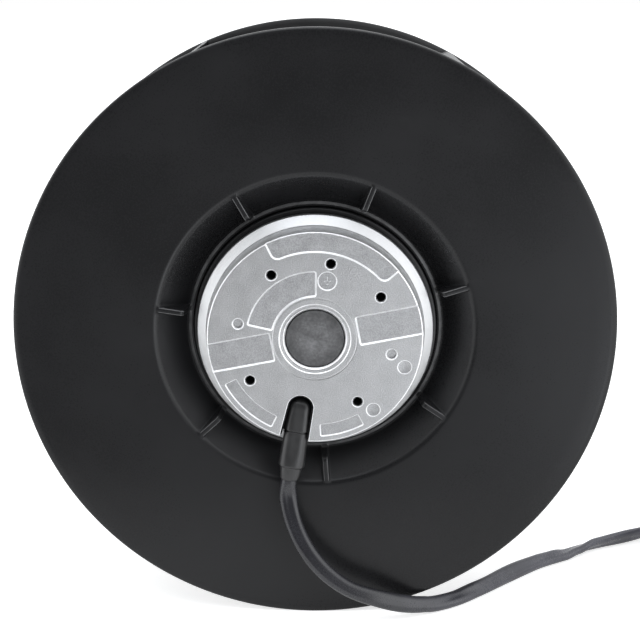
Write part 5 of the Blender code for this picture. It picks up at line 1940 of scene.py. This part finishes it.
@dataclass
class Studio:
    """Camera, floor, world and lamps. Sizes in metres."""

    target: tuple[float, float, float] = (0.00182, 0.006, 0.0058)
    distance: float = 0.530
    elevation: float = 14.7
    azimuth: float = 0.21
    lens: float = 80.33
    floor_level: float = -0.1125
    floor_reach: float = 6.0
    floor_front: float = -0.16
    floor_seen: float = 0.68
    floor_mirrored: float = 0.42

    def aim(self, thing: Piece, place: Vector, target: Vector) -> None:
        """Puts a camera or a lamp at a place and turns it to a target.

        Args:
            thing: The camera's or the lamp's object.
            place: Where it stands.
            target: What it looks at.
        """
        thing.location = place
        thing.rotation_mode = "QUATERNION"
        thing.rotation_quaternion = (target - place).to_track_quat("-Z", "Y")
        bpy.context.scene.collection.objects.link(thing)

    def camera(self) -> None:
        """Sets the camera at the photograph's viewing angle."""
        e, a = math.radians(self.elevation), math.radians(self.azimuth)
        back = Vector((math.sin(a) * math.cos(e), -math.cos(a) * math.cos(e), math.sin(e)))
        data = bpy.data.cameras.new("camera")
        data.sensor_width, data.lens = 36.0, self.lens
        data.clip_start, data.clip_end = 0.01, 50.0
        camera = bpy.data.objects.new("camera", data)
        self.aim(camera, Vector(self.target) + back * self.distance, Vector(self.target))
        bpy.context.scene.camera = camera

    def floor(self) -> None:
        """Lays a plain pale floor: white to the camera, less the object's shadow."""
        reach, front, z = self.floor_reach, self.floor_front, self.floor_level
        mesh = bpy.data.meshes.new("floor")
        outline = [(-reach, front, z), (reach, front, z), (reach, reach, z), (-reach, reach, z)]
        mesh.from_pydata(outline, [], [(0, 1, 2, 3)])
        floor = bpy.data.objects.new("floor", mesh)
        bpy.context.scene.collection.objects.link(floor)
        material = bpy.data.materials.new("pale_floor")
        material.use_nodes = True
        sheet = NodeSheet(material.node_tree)
        path = sheet.add("LightPath").outputs
        seen = sheet.math("MULTIPLY", path["Is Camera Ray"], self.floor_seen)
        mirrored = sheet.math("MULTIPLY", path["Is Glossy Ray"], self.floor_mirrored)
        looks = {
            "Base Color": (0.8, 0.8, 0.8, 1.0),
            "Roughness": 0.9,
            "Specular IOR Level": 0.0,
            "Emission Color": (1.0, 1.0, 1.0, 1.0),
            "Emission Strength": sheet.math("ADD", seen, mirrored),
        }
        for name, value in looks.items():
            sheet.join(value, material.node_tree.nodes["Principled BSDF"].inputs[name])
        mesh.materials.append(material)

    def world(self) -> None:
        """Sets a white tent, dim on the camera's side, and white where the camera looks."""
        world = bpy.data.worlds.new("studio")
        bpy.context.scene.world = world
        world.use_nodes = True
        sheet = NodeSheet(world.node_tree)
        world.node_tree.nodes.clear()
        where = sheet.add("TexCoord").outputs["Generated"]
        towards = {0: where, 1: (-0.18, -0.957, 0.23)}
        front = sheet.add("VectorMath", towards, operation="DOT_PRODUCT").outputs["Value"]
        up = sheet.add("SeparateXYZ", {0: where}).outputs[2]
        level = sheet.math(
            "MULTIPLY",
            sheet.spread(front, 0.6, 0.92, 2.3, 0.08, "SMOOTHSTEP"),
            sheet.spread(front, -0.2, 0.25, 0.5, 1.0, "SMOOTHSTEP"),
        )
        level = sheet.math("MULTIPLY", level, sheet.spread(up, 0.3, 0.8, 1.0, 0.7))
        level = sheet.math("MULTIPLY", level, sheet.spread(up, -0.8, -0.45, 0.2, 1.0))
        room = sheet.add("Background", {"Color": (0.97, 0.985, 1.0, 1.0), "Strength": level})
        white = sheet.add("Background", {"Color": (1.0, 1.0, 1.0, 1.0), "Strength": 1.0})
        seen = sheet.add("LightPath").outputs["Is Camera Ray"]
        mixed = sheet.add("MixShader", {0: seen, 1: room.outputs[0], 2: white.outputs[0]})
        sheet.add("OutputWorld", {"Surface": mixed.outputs[0]})

    def lamp(self, name: str, place: Point, aim: Point, size: float, power: float) -> None:
        """Sets a square soft lamp.

        Args:
            name: The lamp's name.
            place: Where it stands.
            aim: The point that it lights.
            size: Its side.
            power: Its power in watts.
        """
        data = bpy.data.lights.new(name, "AREA")
        data.size, data.energy, data.color = size, power, (0.9, 0.94, 1.0)
        self.aim(bpy.data.objects.new(name, data), Vector(place), Vector(aim))

    def build(self) -> None:
        """Builds the studio."""
        bpy.context.scene.view_settings.view_transform = "Standard"
        self.camera()
        self.floor()
        self.world()
        self.lamp("top_softbox", (-0.1, -0.5, 1.0), (0, -0.1, -0.11), 0.7, 2.4)
        self.lamp("right_softbox", (0.3, -0.72, -0.28), (0.06, 0.0, -0.06), 0.3, 0.6)


def corners(box: tuple[Vector, Vector]) -> list[list[float]]:
    """A box's two corners as plain lists."""
    return [[float(x) for x in corner] for corner in box]


def main() -> None:
    """Dresses the fan and sets the studio."""
    logging.basicConfig(level=logging.INFO, format="%(name)s: %(message)s")
    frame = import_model()
    grommet = Grommet()
    motor = (Flange(), RotorCan(), Inside(frame["nodes"]))
    for part in (Studio(), Lead(grommet), grommet, Wheel(), *motor):
        part.build()
    bpy.context.view_layer.update()


if __name__ == "__main__":
    main()
